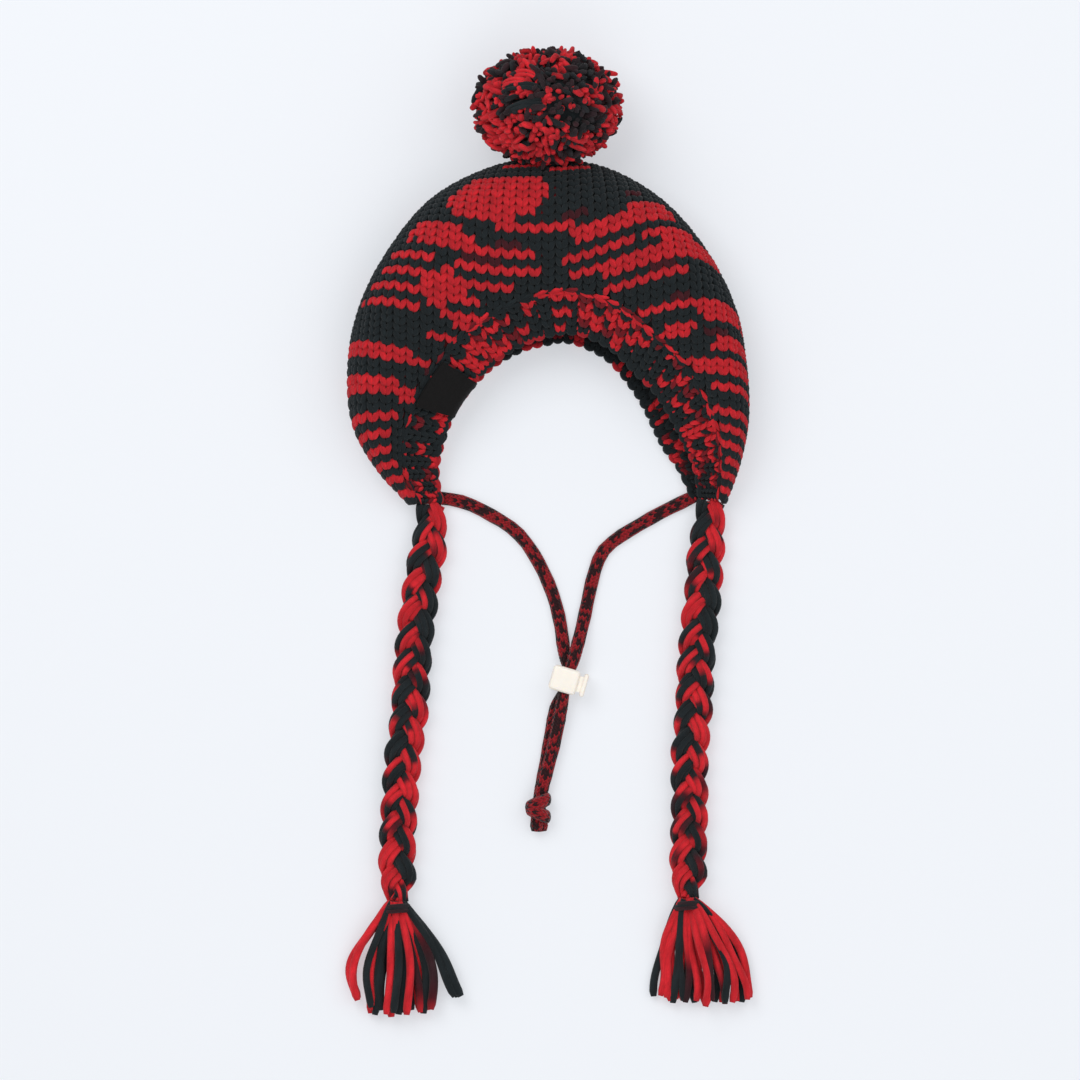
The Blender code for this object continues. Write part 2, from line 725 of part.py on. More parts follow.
def cord_seat(place):
    """Where a leg of the chin cord meets the rim, and a point a little way out, square to the rim."""
    before, here, after = sections_at([place - 0.2, place, place + 0.2])
    rim_ahead = after.back_rim() - before.back_rim()
    out = np.array([rim_ahead[1], -rim_ahead[0]]) / np.linalg.norm(rim_ahead)
    rim = here.back_rim()
    rows = []
    for distance in (SCALLOP / 2 + CORD_SEAT, CORD_LEAD):
        x, y = rim + out * distance
        rows.append(Route(x, y, FLOOR_Z, 1.0))
    return tuple(rows)


def build_cord_leg(side, place, route, material, group):
    """One leg of the flat chin cord, lying on the surface."""
    rows = evenly_along(through(cord_seat(place) + route, count=300), CORD_POINTS)
    flatten = CORD_THICKNESS / CORD_WIDTH
    tube(f"chin_cord_{side}", rows[:, :3], CORD_WIDTH / 2, material, group, pinches=rows[:, 3], flatten=flatten)


def box(name, low, high, holder):
    """A box between two corners."""
    mesh = bmesh.new()
    bmesh.ops.create_cube(mesh, size=1.0)
    size = Vector(high) - Vector(low)
    bmesh.ops.scale(mesh, vec=size, verts=mesh.verts)
    bmesh.ops.translate(mesh, vec=(Vector(low) + Vector(high)) / 2, verts=mesh.verts)
    made = bpy.data.meshes.new(name)
    mesh.to_mesh(made)
    mesh.free()
    thing = bpy.data.objects.new(name, made)
    holder.objects.link(thing)
    return thing


def round_edges(thing, width):
    bevel = thing.modifiers.new("round", "BEVEL")
    bevel.width = width
    bevel.segments = 3


def cut(thing, cutter):
    cutter.hide_render = True
    cutter.display_type = "WIRE"
    away = thing.modifiers.new("cut_" + cutter.name, "BOOLEAN")
    away.operation = "DIFFERENCE"
    away.object = cutter


def lock_place():
    """The cord lock's own frame: x along the barrel towards the button, y up the cord, z up."""
    return Matrix.Translation((LOCK_X, LOCK_Y, 0.0)) @ Matrix.Rotation(LOCK_TILT, 4, "Z")


def build_barrel(material, group, cutters):
    """The cord lock's barrel: a rounded block with a hole for the cords and a chamber for the button's stem."""
    across = BARREL_ACROSS / 2
    middle = BARREL_THICKNESS / 2
    barrel = box("cord_lock_barrel", (-BARREL_LEFT, -across, 0.0), (BARREL_RIGHT, across, BARREL_THICKNESS), group)
    barrel.data.materials.append(material)
    round_edges(barrel, BARREL_BEVEL)
    half_hole = CORD_HOLE_WIDTH / 2
    hole = box(
        "cord_hole",
        (CORD_HOLE_AT - half_hole, -BARREL_ACROSS, middle - CORD_HOLE_HEIGHT / 2),
        (CORD_HOLE_AT + half_hole, BARREL_ACROSS, middle + CORD_HOLE_HEIGHT / 2),
        cutters,
    )
    cut(barrel, hole)
    wide = STEM_ACROSS / 2 + LOCK_CLEARANCE
    high = STEM_THICKNESS / 2 + LOCK_CLEARANCE
    chamber = box(
        "stem_chamber",
        (-BARREL_LEFT + CHAMBER_WALL, -wide, middle - high),
        (2 * BARREL_RIGHT, wide, middle + high),
        cutters,
    )
    cut(barrel, chamber)
    apply_modifiers(barrel)
    smooth(barrel.data, 35.0)
    barrel.matrix_world = lock_place()
    return barrel


def build_button(material, group, cutters):
    """The cord lock's button: a stem with a hole for the cords, which pinches them at rest, and a head."""
    middle = BARREL_THICKNESS / 2
    hole_left = CORD_HOLE_AT - CORD_HOLE_WIDTH / 2 + BUTTON_TRAVEL
    hole_right = CORD_HOLE_AT + CORD_HOLE_WIDTH / 2 + BUTTON_TRAVEL
    head_left = BARREL_RIGHT + BUTTON_TRAVEL + LOCK_CLEARANCE
    wide = STEM_ACROSS / 2
    high = STEM_THICKNESS / 2
    button = box(
        "cord_lock_button",
        (head_left, -BUTTON_ACROSS / 2, middle - BUTTON_THICKNESS / 2),
        (head_left + BUTTON_HEAD, BUTTON_ACROSS / 2, middle + BUTTON_THICKNESS / 2),
        group,
    )
    button.data.materials.append(material)
    round_edges(button, BUTTON_HEAD * 0.45)
    stem = box(
        "button_stem",
        (hole_left - STEM_END, -wide, middle - high),
        (head_left + BUTTON_HEAD / 2, wide, middle + high),
        cutters,
    )
    stem.hide_render = True
    stem.display_type = "WIRE"
    joined = button.modifiers.new("stem", "BOOLEAN")
    joined.operation = "UNION"
    joined.object = stem
    hole = box(
        "button_hole",
        (hole_left, -BARREL_ACROSS, middle - CORD_HOLE_HEIGHT / 2),
        (hole_right, BARREL_ACROSS, middle + CORD_HOLE_HEIGHT / 2),
        cutters,
    )
    cut(button, hole)
    apply_modifiers(button)
    smooth(button.data, 35.0)
    button.matrix_world = lock_place()
    return button


def build_knot(material, group, cutters):
    """The overhand knot that ties the two legs: two crossing wraps round the cords, and the cut ends below."""
    centre = Vector((KNOT_X, KNOT_Y, KNOT_WRAP + KNOT_CORD - 0.0002))
    lean = math.radians(12)
    wraps = []
    for name, shift, tilt, turn in (("upper_wrap", 0.0026, 68, 24), ("lower_wrap", -0.0024, 74, -26)):
        mesh = bmesh.new()
        ring = torus_mesh(name, KNOT_WRAP, KNOT_CORD)
        mesh.from_mesh(ring)
        spin = Matrix.Rotation(math.radians(turn), 4, "Z") @ Matrix.Rotation(math.radians(tilt), 4, "X")
        bmesh.ops.transform(mesh, matrix=Matrix.Translation(centre + Vector((0, shift, 0))) @ spin, verts=mesh.verts)
        mesh.to_mesh(ring)
        mesh.free()
        wraps.append(bpy.data.objects.new(name, ring))
    knot = wraps[0]
    knot.name = "cord_knot"
    knot.data.materials.append(material)
    group.objects.link(knot)
    rings = []
    ahead = Vector((math.sin(lean) * 0.2, -math.cos(lean), 0)).normalized()
    aside = Vector((-ahead.y, ahead.x, 0))
    for share, width, height in ((0.0, 1.0, 1.1), (0.5, 1.15, 1.0), (0.85, 1.2, 0.9), (1.0, 1.0, 0.6)):
        point = centre + ahead * (share * STUB_LENGTH + 0.0006)
        ring = []
        for k in range(10):
            turn = 2 * math.pi * k / 10
            ring.append(point + aside * (CORD_WIDTH * 0.55 * width * math.cos(turn))
                        + Vector((0, 0, CORD_THICKNESS * height * math.sin(turn))))
        rings.append(ring)
    stub = bpy.data.objects.new("knot_stub", loft_mesh("knot_stub", rings))
    fuse(knot, [wraps[1], stub], cutters)
    smooth(knot.data, 50.0)
    return knot


def torus_mesh(name, major, minor):
    """A ring about +Z, from a round profile turned with a Screw modifier."""
    profile = bmesh.new()
    bmesh.ops.create_circle(profile, segments=8, radius=minor)
    bmesh.ops.rotate(profile, matrix=Matrix.Rotation(math.pi / 2, 3, "X"), verts=profile.verts)
    bmesh.ops.translate(profile, vec=(major, 0, 0), verts=profile.verts)
    mesh = bpy.data.meshes.new(name)
    profile.to_mesh(mesh)
    profile.free()
    helper = bpy.data.objects.new(name + "_profile", mesh)
    bpy.context.scene.collection.objects.link(helper)
    screw = helper.modifiers.new("turn", "SCREW")
    screw.steps = 12
    screw.render_steps = 12
    screw.use_merge_vertices = True
    screw.merge_threshold = 0.00005
    apply_modifiers(helper)
    made = helper.data
    bpy.data.objects.remove(helper)
    solid = bmesh.new()
    solid.from_mesh(made)
    bmesh.ops.recalc_face_normals(solid, faces=solid.faces)
    solid.to_mesh(made)
    solid.free()
    return made


def main():
    clear_scene()
    hat = collection("pet_beanie")
    cutters = collection("cutters")
    cutters.hide_render = True
    knit = finish_material("knitted_yarn", MIXED_YARN, 0.9)
    ribbed = finish_material("ribbed_yarn", MIXED_YARN, 0.9)
    tufted = finish_material("pompom_yarn", RED_YARN, 0.95)
    plaited = finish_material("plaited_yarn", RED_YARN, 0.9)
    tying = finish_material("dark_yarn", DARK_YARN, 0.9)
    corded = finish_material("flat_cord", CORD_RED, 0.8)
    woven = finish_material("woven_label", LABEL_BLACK, 0.7)
    ivory = finish_material("ivory_plastic", LOCK_IVORY, 0.35)
    build_crown(knit, hat)
    build_band(ribbed, hat, cutters)
    build_label(woven, hat)
    build_pompom(tufted, hat, cutters)
    for side, top, steps, locks in (
        ("left", LEFT_TIE_TOP, LEFT_TIE, LEFT_LOCKS),
        ("right", RIGHT_TIE_TOP, RIGHT_TIE, RIGHT_LOCKS),
    ):
        build_braid(side, top, steps, plaited, hat)
        build_tassel(side, top, steps, locks, tying, hat, cutters)
    build_cord_leg("left", CORD_SEAT_PLACE, LEFT_LEG, corded, hat)
    build_cord_leg("right", LAST_PLACE - CORD_SEAT_PLACE, RIGHT_LEG, corded, hat)
    build_barrel(ivory, hat, cutters)
    build_button(ivory, hat, cutters)
    build_knot(corded, hat, cutters)


main()
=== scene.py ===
"""Dresses the pet beanie's solids with knitted, plaited and tufted yarn, as a Blender add-on layout."""
import json
import math

import bmesh
import bpy
import numpy as np
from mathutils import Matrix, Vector

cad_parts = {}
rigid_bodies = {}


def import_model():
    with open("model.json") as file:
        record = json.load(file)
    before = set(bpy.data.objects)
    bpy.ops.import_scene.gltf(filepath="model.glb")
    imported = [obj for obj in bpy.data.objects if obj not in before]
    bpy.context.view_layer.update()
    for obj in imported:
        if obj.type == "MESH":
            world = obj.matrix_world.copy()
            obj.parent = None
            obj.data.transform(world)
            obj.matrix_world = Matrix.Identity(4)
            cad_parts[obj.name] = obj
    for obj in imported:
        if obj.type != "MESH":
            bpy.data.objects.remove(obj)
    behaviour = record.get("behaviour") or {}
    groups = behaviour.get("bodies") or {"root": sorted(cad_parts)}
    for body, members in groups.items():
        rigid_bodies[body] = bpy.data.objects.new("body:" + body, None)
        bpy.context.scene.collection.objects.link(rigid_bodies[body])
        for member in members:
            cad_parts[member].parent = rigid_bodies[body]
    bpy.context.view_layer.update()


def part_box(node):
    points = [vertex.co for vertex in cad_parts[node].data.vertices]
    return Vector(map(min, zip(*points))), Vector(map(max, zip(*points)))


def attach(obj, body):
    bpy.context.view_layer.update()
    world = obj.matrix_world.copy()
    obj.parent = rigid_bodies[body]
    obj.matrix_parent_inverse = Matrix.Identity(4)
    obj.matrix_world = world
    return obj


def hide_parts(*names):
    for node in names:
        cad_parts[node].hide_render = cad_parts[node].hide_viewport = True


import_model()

bl_info = {
    "name": "Pet Beanie Dresser",
    "version": (1, 0, 0),
    "blender": (4, 5, 0),
    "location": "View3D > Sidebar > Beanie",
    "description": "Knits the crown and band, winds the pompom, plaits the ties and lays the chin cord",
    "category": "Object",
}

UP = np.array((0.0, 0.0, 1.0))

# The hat's own sizes, in metres, as its solids have them
CROWN_WIDTH = 0.200
CROWN_HEIGHT = 0.170
TIP_DROP = 0.130
PUFF_HEIGHT = 0.052
KNIT_WALL = 0.0045
SEAM_GAP = 0.0009
BAND_WIDTH = 0.0205
BAND_WALL = 0.0048
BAND_SHARE_AT_TIP = 0.61
SEAM_RISE = 0.80
EDGE_RISE = 0.55
LABEL_WIDTH = 0.021
LABEL_AT = 3.55
LABEL_GAP = 0.0004
LABEL_TUCK = 0.62
BRAID_LENGTH = 0.198
BRAID_GAP = 0.0004
STRAND_RADIUS = 0.0026
STRAND_FLATTEN = 0.75
STRAND_SWING = 0.0068
STRAND_LIFT = 0.0044
BRAID_MIDDLE = STRAND_LIFT + STRAND_RADIUS * STRAND_FLATTEN + 0.0003
PLAIT_PITCH = 0.0405
TASSEL_NECK = 0.0046
TIE_RADIUS = 0.0013
TIE_GAP = 0.0003
TIE_MIDDLE = TASSEL_NECK + TIE_GAP + 2 * TIE_RADIUS + 0.0003
CORD_WIDTH = 0.0066
CORD_THICKNESS = 0.0026
KNOT_X = -0.0049
KNOT_Y = -0.2846
BARREL_THICKNESS = 0.0116

# How much soft light the yarn's fuzz catches
SHEEN = 0.08

# How far the stitches stand proud of the solids' faces, how far the fabric between them lies below, and how far
# its colour is dimmed beside them as painted shade
FRONT_PROUD = 0.0006
BACK_BAND_PROUD = 0.0004
WALL_SINK = 0.0019
WALL_PAINTED_SHADE = 0.42

# A stitch leg's place, as shares of its wale and row: from the wale's middle, across, from the row's level, up
LEG_INNER = 0.075
LEG_LEAN = 0.345
LEG_FOOT = -0.66
LEG_REACH = 1.30

# How much the yarns' brightness varies from strand to strand
CROWN_VARIES = 0.10
BAND_VARIES = 0.12
POMPOM_VARIES = 0.16

# Round the arch from the left flap tip to the right one: fold x and y, rim x and y, puff, back reach
STATIONS = np.array((
    (-0.700, -0.009, -0.530, -0.009, 0.28, 0.00),
    (-0.850, 0.088, -0.555, 0.088, 0.42, 0.00),
    (-0.970, 0.212, -0.530, 0.171, 0.56, 0.00),
    (-1.000, 0.353, -0.475, 0.259, 0.68, 0.00),
    (-0.965, 0.524, -0.390, 0.332, 0.80, 0.00),
    (-0.835, 0.700, -0.280, 0.400, 0.90, 0.02),
    (-0.590, 0.882, -0.140, 0.453, 0.97, 0.07),
    (-0.265, 0.982, -0.015, 0.479, 1.00, 0.12),
    (0.010, 1.000, 0.075, 0.491, 1.00, 0.15),
    (0.290, 0.976, 0.185, 0.482, 1.00, 0.20),
    (0.570, 0.882, 0.320, 0.441, 0.97, 0.22),
    (0.790, 0.735, 0.440, 0.371, 0.90, 0.27),
    (0.935, 0.565, 0.540, 0.312, 0.80, 0.40),
    (0.990, 0.397, 0.615, 0.241, 0.69, 0.46),
    (1.000, 0.241, 0.675, 0.171, 0.57, 0.46),
    (0.960, 0.112, 0.725, 0.100, 0.42, 0.36),
    (0.895, 0.000, 0.755, 0.006, 0.28, 0.15),
))
LAST_PLACE = len(STATIONS) - 1

# The skin across one station, from the back seam round the fold to the front seam: across and rise
SKIN = np.array((
    (1.00, 0.00), (0.68, 0.00), (0.34, 0.00), (0.18, 0.025), (0.085, 0.09), (0.03, 0.19), (0.00, 0.34),
    (0.012, 0.50), (0.055, 0.67), (0.13, 0.82), (0.24, 0.93), (0.38, 0.99), (0.56, 1.00), (0.79, 0.93),
    (1.00, SEAM_RISE),
))

# The ties' middle lines: down and sideways as shares of their length
LEFT_TIE = ((0, 0), (0.10, -0.004), (0.24, -0.030), (0.50, -0.054), (0.76, -0.080), (1, -0.086))
RIGHT_TIE = ((0, 0), (0.12, -0.012), (0.37, -0.034), (0.62, -0.052), (0.85, -0.056), (1, -0.060))
LEFT_TIE_TOP = (-0.585, -0.009)
RIGHT_TIE_TOP = (0.815, 0.000)

# The heights that the chin cord runs at: on the floor, through the lock, and over the other leg
FLOOR_SINK = 0.0005
FLOOR_Z = CORD_THICKNESS / 2 + 0.0001
LOWER_Z = BARREL_THICKNESS / 2 - 0.00145
UPPER_Z = BARREL_THICKNESS / 2 + 0.00145
STACK_Z = FLOOR_Z + CORD_THICKNESS + 0.0004

# The chin cord's legs: x, y and z of the middle line, and how far the lock pinches it
LEFT_LEG = (
    (-0.0545, -0.1285, FLOOR_Z, 1.0), (-0.0485, -0.1292, FLOOR_Z, 1.0), (-0.0415, -0.1308, FLOOR_Z, 1.0),
    (-0.0345, -0.1338, FLOOR_Z, 1.0), (-0.0265, -0.1382, FLOOR_Z, 1.0), (-0.0185, -0.1432, FLOOR_Z, 1.0),
    (-0.0110, -0.1508, FLOOR_Z, 1.0), (-0.0035, -0.1630, FLOOR_Z, 1.0), (0.0025, -0.1770, FLOOR_Z, 1.0),
    (0.0060, -0.1905, FLOOR_Z, 1.0), (0.0076, -0.2020, 0.0020, 1.0), (0.0090, -0.2092, 0.0034, 0.94),
    (0.0109, -0.2145, LOWER_Z, 0.85), (0.0097, -0.2197, LOWER_Z, 0.85), (0.0081, -0.2251, LOWER_Z, 0.85),
    (0.0042, -0.2330, 0.0032, 1.0), (0.0022, -0.2420, FLOOR_Z, 1.0), (0.0004, -0.2530, FLOOR_Z, 1.0),
    (-0.0016, -0.2640, FLOOR_Z, 1.0), (-0.0034, -0.2735, FLOOR_Z, 1.0), (-0.0046, -0.2800, FLOOR_Z, 0.9),
)
RIGHT_LEG = (
    (0.0765, -0.1258, FLOOR_Z, 1.0), (0.0715, -0.1284, FLOOR_Z, 1.0), (0.0650, -0.1316, FLOOR_Z, 1.0),
    (0.0565, -0.1358, FLOOR_Z, 1.0), (0.0450, -0.1423, FLOOR_Z, 1.0), (0.0335, -0.1495, FLOOR_Z, 1.0),
    (0.0268, -0.1562, FLOOR_Z, 1.0), (0.0232, -0.1655, FLOOR_Z, 1.0), (0.0210, -0.1745, FLOOR_Z, 1.0),
    (0.0184, -0.1870, 0.0019, 1.0), (0.0163, -0.1960, 0.0042, 1.0), (0.0144, -0.2032, 0.0063, 1.0),
    (0.0127, -0.2095, 0.0072, 0.94), (0.0109, -0.2145, UPPER_Z, 0.85), (0.0097, -0.2197, UPPER_Z, 0.85),
    (0.0081, -0.2251, UPPER_Z, 0.85), (0.0066, -0.2330, 0.0066, 1.0), (0.0050, -0.2420, 0.0050, 1.0),
    (0.0026, -0.2530, STACK_Z, 1.0), (-0.0003, -0.2640, STACK_Z, 1.0), (-0.0028, -0.2735, STACK_Z, 1.0),
    (-0.0040, -0.2800, STACK_Z, 0.9),
)

# The knot's wraps: how far up the cord, how much they slant, and their size. Its cut ends: lean, half width, height
KNOT_WRAPS = ((0.0036, 0.42, 1.12), (-0.0012, -0.42, 1.08))
KNOT_ENDS = ((0.0016, 0.0031, 0.0022), (-0.0012, 0.0030, 0.0044))

# The tassels: length, how far they reach left and right, past which spread a yarn is swept out or curled, and the
# level of the dye's wave from which a yarn is red
TASSELS = {
    "left": (0.0560, -0.0180, 0.0235, 0.80, -0.86, 0.0),
    "right": (0.0525, -0.0150, 0.0320, 1.5, -1.5, -0.35),
}

# How steeply the rows climb to the right over the plan, at places across the crown: all over, and what is added
# towards the ear flaps
ROW_SLOPES = (
    (-0.160, -0.16), (-0.090, -0.20), (-0.065, -0.24), (-0.045, -0.25), (-0.030, -0.14), (-0.012, -0.02),
    (0.000, 0.05), (0.010, 0.28), (0.030, 0.38), (0.055, 0.34), (0.070, 0.12), (0.085, 0.02), (0.160, 0.0),
)
FLAP_SLOPES = (
    (-0.160, 0.42), (-0.080, 0.38), (-0.060, 0.15), (-0.050, 0.0), (0.055, 0.0), (0.065, -0.10), (0.085, -0.26),
    (0.160, -0.28),
)
FLAP_TOP = -0.045
FLAP_BLEND = 0.070

# The crown front's chart, listed run by run. Each run of stitches: its start and end from left to right in
# millimetres, its top row, counted up from the arch's level, and its number of rows
RED_RUNS = (
    (-24, -6, 14, 1), (1, 22, 13, 1), (-38, -3, 11, 1), (-43, 1, 10, 1), (-46, 1.5, 9, 1), (-49, -5, 8, 1),
    (-50, -7, 7, 1), (-49, -15, 6, 1), (-29, 11, 5, 1), (-67, -44, 4, 1), (-70, -37, 3, 1), (-67, -6, 2, 1),
    (-78, -54, 0, 1), (-46, -2, 0, 1), (-52, -46, -1, 1), (-82, -42, -2, 1), (-43, -18, -2, 1), (-64, -42, -3, 1),
    (-88, -50, -4, 1), (-50, -32, -4, 1), (-62, -50, -5, 1), (-91, -65, -6, 1), (-54, -29, -6, 1),
    (-46, -31, -7, 1), (-43, -34, -8, 1), (-62, -42, -9, 1), (-100, -66, -12, 2), (-71, -45, -13, 1),
    (-102, -74, -16, 2), (-75, -62, -17, 2), (-102, -73, -20, 1), (-102, -78, -22, 1), (-102, -77, -24, 1),
    (-90, -76, -26, 1), (-90, -70, -28, 1), (-88, -60, -30, 1),
    (8, 60, 4, 1), (38, 60, 5, 1), (14, 64, 3, 1), (4, 40, 1, 1), (48, 72, 1, 1), (58, 86, 0, 1), (12, 86, -1, 1),
    (28, 86, -2, 1), (29, 70, -4, 1), (43, 97, -8, 1), (72, 97, -9, 1), (76, 97, -10, 1), (58, 74, -11, 1),
    (56, 72, -12, 1), (85, 99, -13, 1), (81, 99, -14, 1), (68, 100, -16, 2), (79, 101, -19, 1), (81, 101, -22, 1),
    (85, 101, -24, 1), (84, 101, -26, 1), (86, 101, -28, 1), (78, 101, -30, 1), (76, 101, -32, 1),
)
MAROON_RUNS = (
    (-28, -12, 3, 1), (38, 46, 7, 1), (-42, -24, 1, 1), (6, 20, 6, 1), (50, 66, -3, 1), (-60, -50, -14, 1),
    (60, 72, -7, 1), (76, 90, -12, 1),
)

# The band's patches in millimetres: left, right, bottom and top, and the share of its stitches that are red
BAND_PATCHES = (
    (-24, -8, -44, -26, 0.06), (-8, 28, -31, -20, 0.85), (-8, 12, -46, -31, 0.10), (12, 40, -44, -30, 0.90),
    (30, 52, -52, -40, 0.50), (-22, 14, -56, -44, 0.45), (-40, -20, -62, -38, 0.62), (-48, -34, -74, -60, 0.60),
    (50, 62, -80, -50, 0.38), (62, 78, -82, -50, 0.36), (58, 76, -102, -80, 0.45), (76, 92, -102, -74, 0.62),
    (64, 92, -118, -102, 0.52), (64, 92, -132, -118, 0.45), (-72, -50, -104, -78, 0.14),
    (-55, -44, -102, -86, 0.45), (-74, -56, -117, -104, 0.22), (-60, -48, -118, -104, 0.50),
    (-74, -48, -134, -117, 0.45),
)

# The pompom's patches in millimetres from its middle: right, up, radius, and the share of its yarns that are red
POMPOM_PATCHES = (
    (-17, 24, 4, 0.0), (-25, 20, 4, 0.0), (-10, 25, 6, 0.9), (3, 28, 4, 0.0), (9, 20, 5, 1.0), (18, 18, 7, 0.04),
    (26, 22, 4, 0.8), (-28, 8, 5, 0.9), (-23, -2, 5, 0.1), (-13, 5, 7, 0.97), (-4, 6, 4, 0.1), (4, 4, 5, 0.97),
    (10, 12, 6, 0.06), (12, 3, 4, 0.1), (18, 7, 4, 1.0), (6, -4, 6, 0.08), (24, -5, 8, 0.2), (30, 5, 4, 0.1),
    (34, -9, 5, 0.95), (-8, -8, 5, 0.05), (-23, -10, 4, 0.1), (-29, -5, 4, 0.9), (-16, -11, 6, 0.95),
    (0, -17, 9, 0.97), (-25, -17, 6, 0.95), (11, -20, 7, 0.04), (21, -16, 5, 0.97), (-12, -24, 6, 0.6),
)

# The yarns that lie across the pompom: start and end across, height, tilt, all as shares of its radii, and redness
CROSSING_YARNS = (
    (-0.66, -0.24, 0.42, 0.03, 1.0), (-0.68, -0.10, 0.34, 0.02, 0.0), (-0.62, -0.06, 0.02, 0.10, 0.0),
    (-0.50, -0.10, 0.56, -0.02, 1.0), (-0.22, -0.02, 0.56, -0.20, 0.1),
)

# A cut yarn end of the pompom, from inside the ball to its tip: share of its length, thickness, and brightness,
# which is painted shade deep in the ball and a painted highlight near the tip
END_SHAPE = (
    (0, 0.6, 0.3), (0.25, 0.8, 0.4), (0.5, 0.9, 0.55), (0.72, 1.0, 0.8), (0.88, 1.05, 1.0), (0.97, 0.80, 1.08),
    (1.0, 0.42, 1.0),
)

# The stage: the frame's width and middle on the floor, the floor's own colour as shares of its tint and its faint
# glow, the soft room's light, and the lamps with their places, sizes in metres and powers in watts
FRAME_WIDTH = 0.54
FRAME_MIDDLE = (-0.004, -0.1495)
SENSOR_WIDTH = 36.0
FLOOR_HALF = 3.0
FLOOR_LEVEL = -0.0006
FLOOR_SHARES = (0.52, 0.525)
FLOOR_GLOW = 0.47
ROOM_COLOUR = (0.97, 0.985, 1.0, 1.0)
ROOM_LIGHT = 0.48
LAMPS_AIM = (0, -0.12, 0)
LAMPS = (
    ("key", (-0.7, 0.7, 1.5), 1.2, 13.8), ("fill", (0.9, 0.2, 1.4), 1.4, 6.9), ("low", (0.1, -1.2, 1.3), 1.4, 5.6),
)


def linear(colour):
    """Screen values from 0 to 255 as linear light: ((v + 0.055) / 1.055) to the power 2.4, or v / 12.92."""
    v = np.asarray(colour, float) / 255
    return np.where(v <= 0.04045, v / 12.92, ((v + 0.055) / 1.055) ** 2.4)


def through(table, at):
    """A Catmull-Rom curve through a table's rows: each cubic piece has half the difference of the rows around
    it as its slope at both ends."""
    rows = np.array(table, float)
    at = np.clip(np.asarray(at, float), 0, len(rows) - 1)
    i = np.minimum(at.astype(int), len(rows) - 2)
    t = (at - i)[:, None]
    last = len(rows) - 1
    before = np.where((i > 0)[:, None], rows[np.maximum(i - 1, 0)], 2 * rows[i] - rows[i + 1])
    after = np.where((i + 2 <= last)[:, None], rows[np.minimum(i + 2, last)], 2 * rows[i + 1] - rows[i])
    a, b = rows[i], rows[i + 1]
    return 0.5 * (2 * a + (b - before) * t + (2 * before - 5 * a + 4 * b - after) * t**2
                  + (3 * a - before - 3 * b + after) * t**3)


def way_along(points):
    """How far along its line each point is: the lengths of the steps before it, summed up."""
    steps = np.linalg.norm(np.diff(points, axis=-2), axis=-1)
    return np.concatenate([np.zeros((*steps.shape[:-1], 1)), np.cumsum(steps, axis=-1)], axis=-1)


def evenly_along(points, count):
    """The points of a line again, count of them, spaced evenly along it."""
    along = way_along(points)
    at = np.linspace(0, along[-1], count)
    return np.stack([np.interp(at, along, column) for column in points.T], axis=1)


def unit(v):
    """Vectors scaled to length one."""
    return v / np.maximum(np.linalg.norm(v, axis=-1, keepdims=True), 1e-12)


class Cuts:
    """Cuts across the arch at many places: fold, direction to the rim, seam, rim, puff and back reach."""

    def __init__(self, places):
        shape = np.shape(places)
        rows = through(STATIONS, np.ravel(places))
        size = np.array((CROWN_WIDTH / 2, CROWN_HEIGHT))
        drop = np.array((0.0, TIP_DROP))
        fold = rows[:, 0:2] * size - drop
        edge = rows[:, 2:4] * size - drop
        width = np.linalg.norm(edge - fold, axis=1)
        band = (BAND_WIDTH**-4 + (BAND_SHARE_AT_TIP * width) ** -4) ** -0.25
        self.fold = fold.reshape(*shape, 2)
        self.inward = ((edge - fold) / width[:, None]).reshape(*shape, 2)
        self.width = width.reshape(shape)
        self.band = band.reshape(shape)
        self.seam = self.width - self.band
        self.puff = rows[:, 4].reshape(shape) * PUFF_HEIGHT
        self.back_reach = rows[:, 5].reshape(shape) * BAND_WIDTH

    def point(self, across, z):
        """Points this far in from the fold and this high: fold plus inward times across, and z."""
        flat = self.fold + self.inward * np.asarray(across)[..., None]
        return np.concatenate([flat, np.broadcast_to(z, flat.shape[:-1])[..., None]], axis=-1)

    def direction(self, across, z):
        """Directions in the cuts' own planes: inward times across, and z."""
        flat = self.inward * np.asarray(across)[..., None]
        return unit(np.concatenate([flat, np.broadcast_to(z, flat.shape[:-1])[..., None]], axis=-1))


def sample(grid, a, b):
    """Bilinear values of a grid at fractional rows a and columns b."""
    a = np.clip(a, 0, grid.shape[0] - 1.000001)
    b = np.clip(b, 0, grid.shape[1] - 1.000001)
    i, j = a.astype(int), b.astype(int)
    s, t = a - i, b - j
    if grid.ndim == 3:
        s, t = s[..., None], t[..., None]
    return ((1 - s) * (1 - t) * grid[i, j] + s * (1 - t) * grid[i + 1, j]
            + (1 - s) * t * grid[i, j + 1] + s * t * grid[i + 1, j + 1])


def in_scene(name, data):
    """A new object of this data in the scene's own collection."""
    made = bpy.data.objects.new(name, data)
    bpy.context.scene.collection.objects.link(made)
    return made


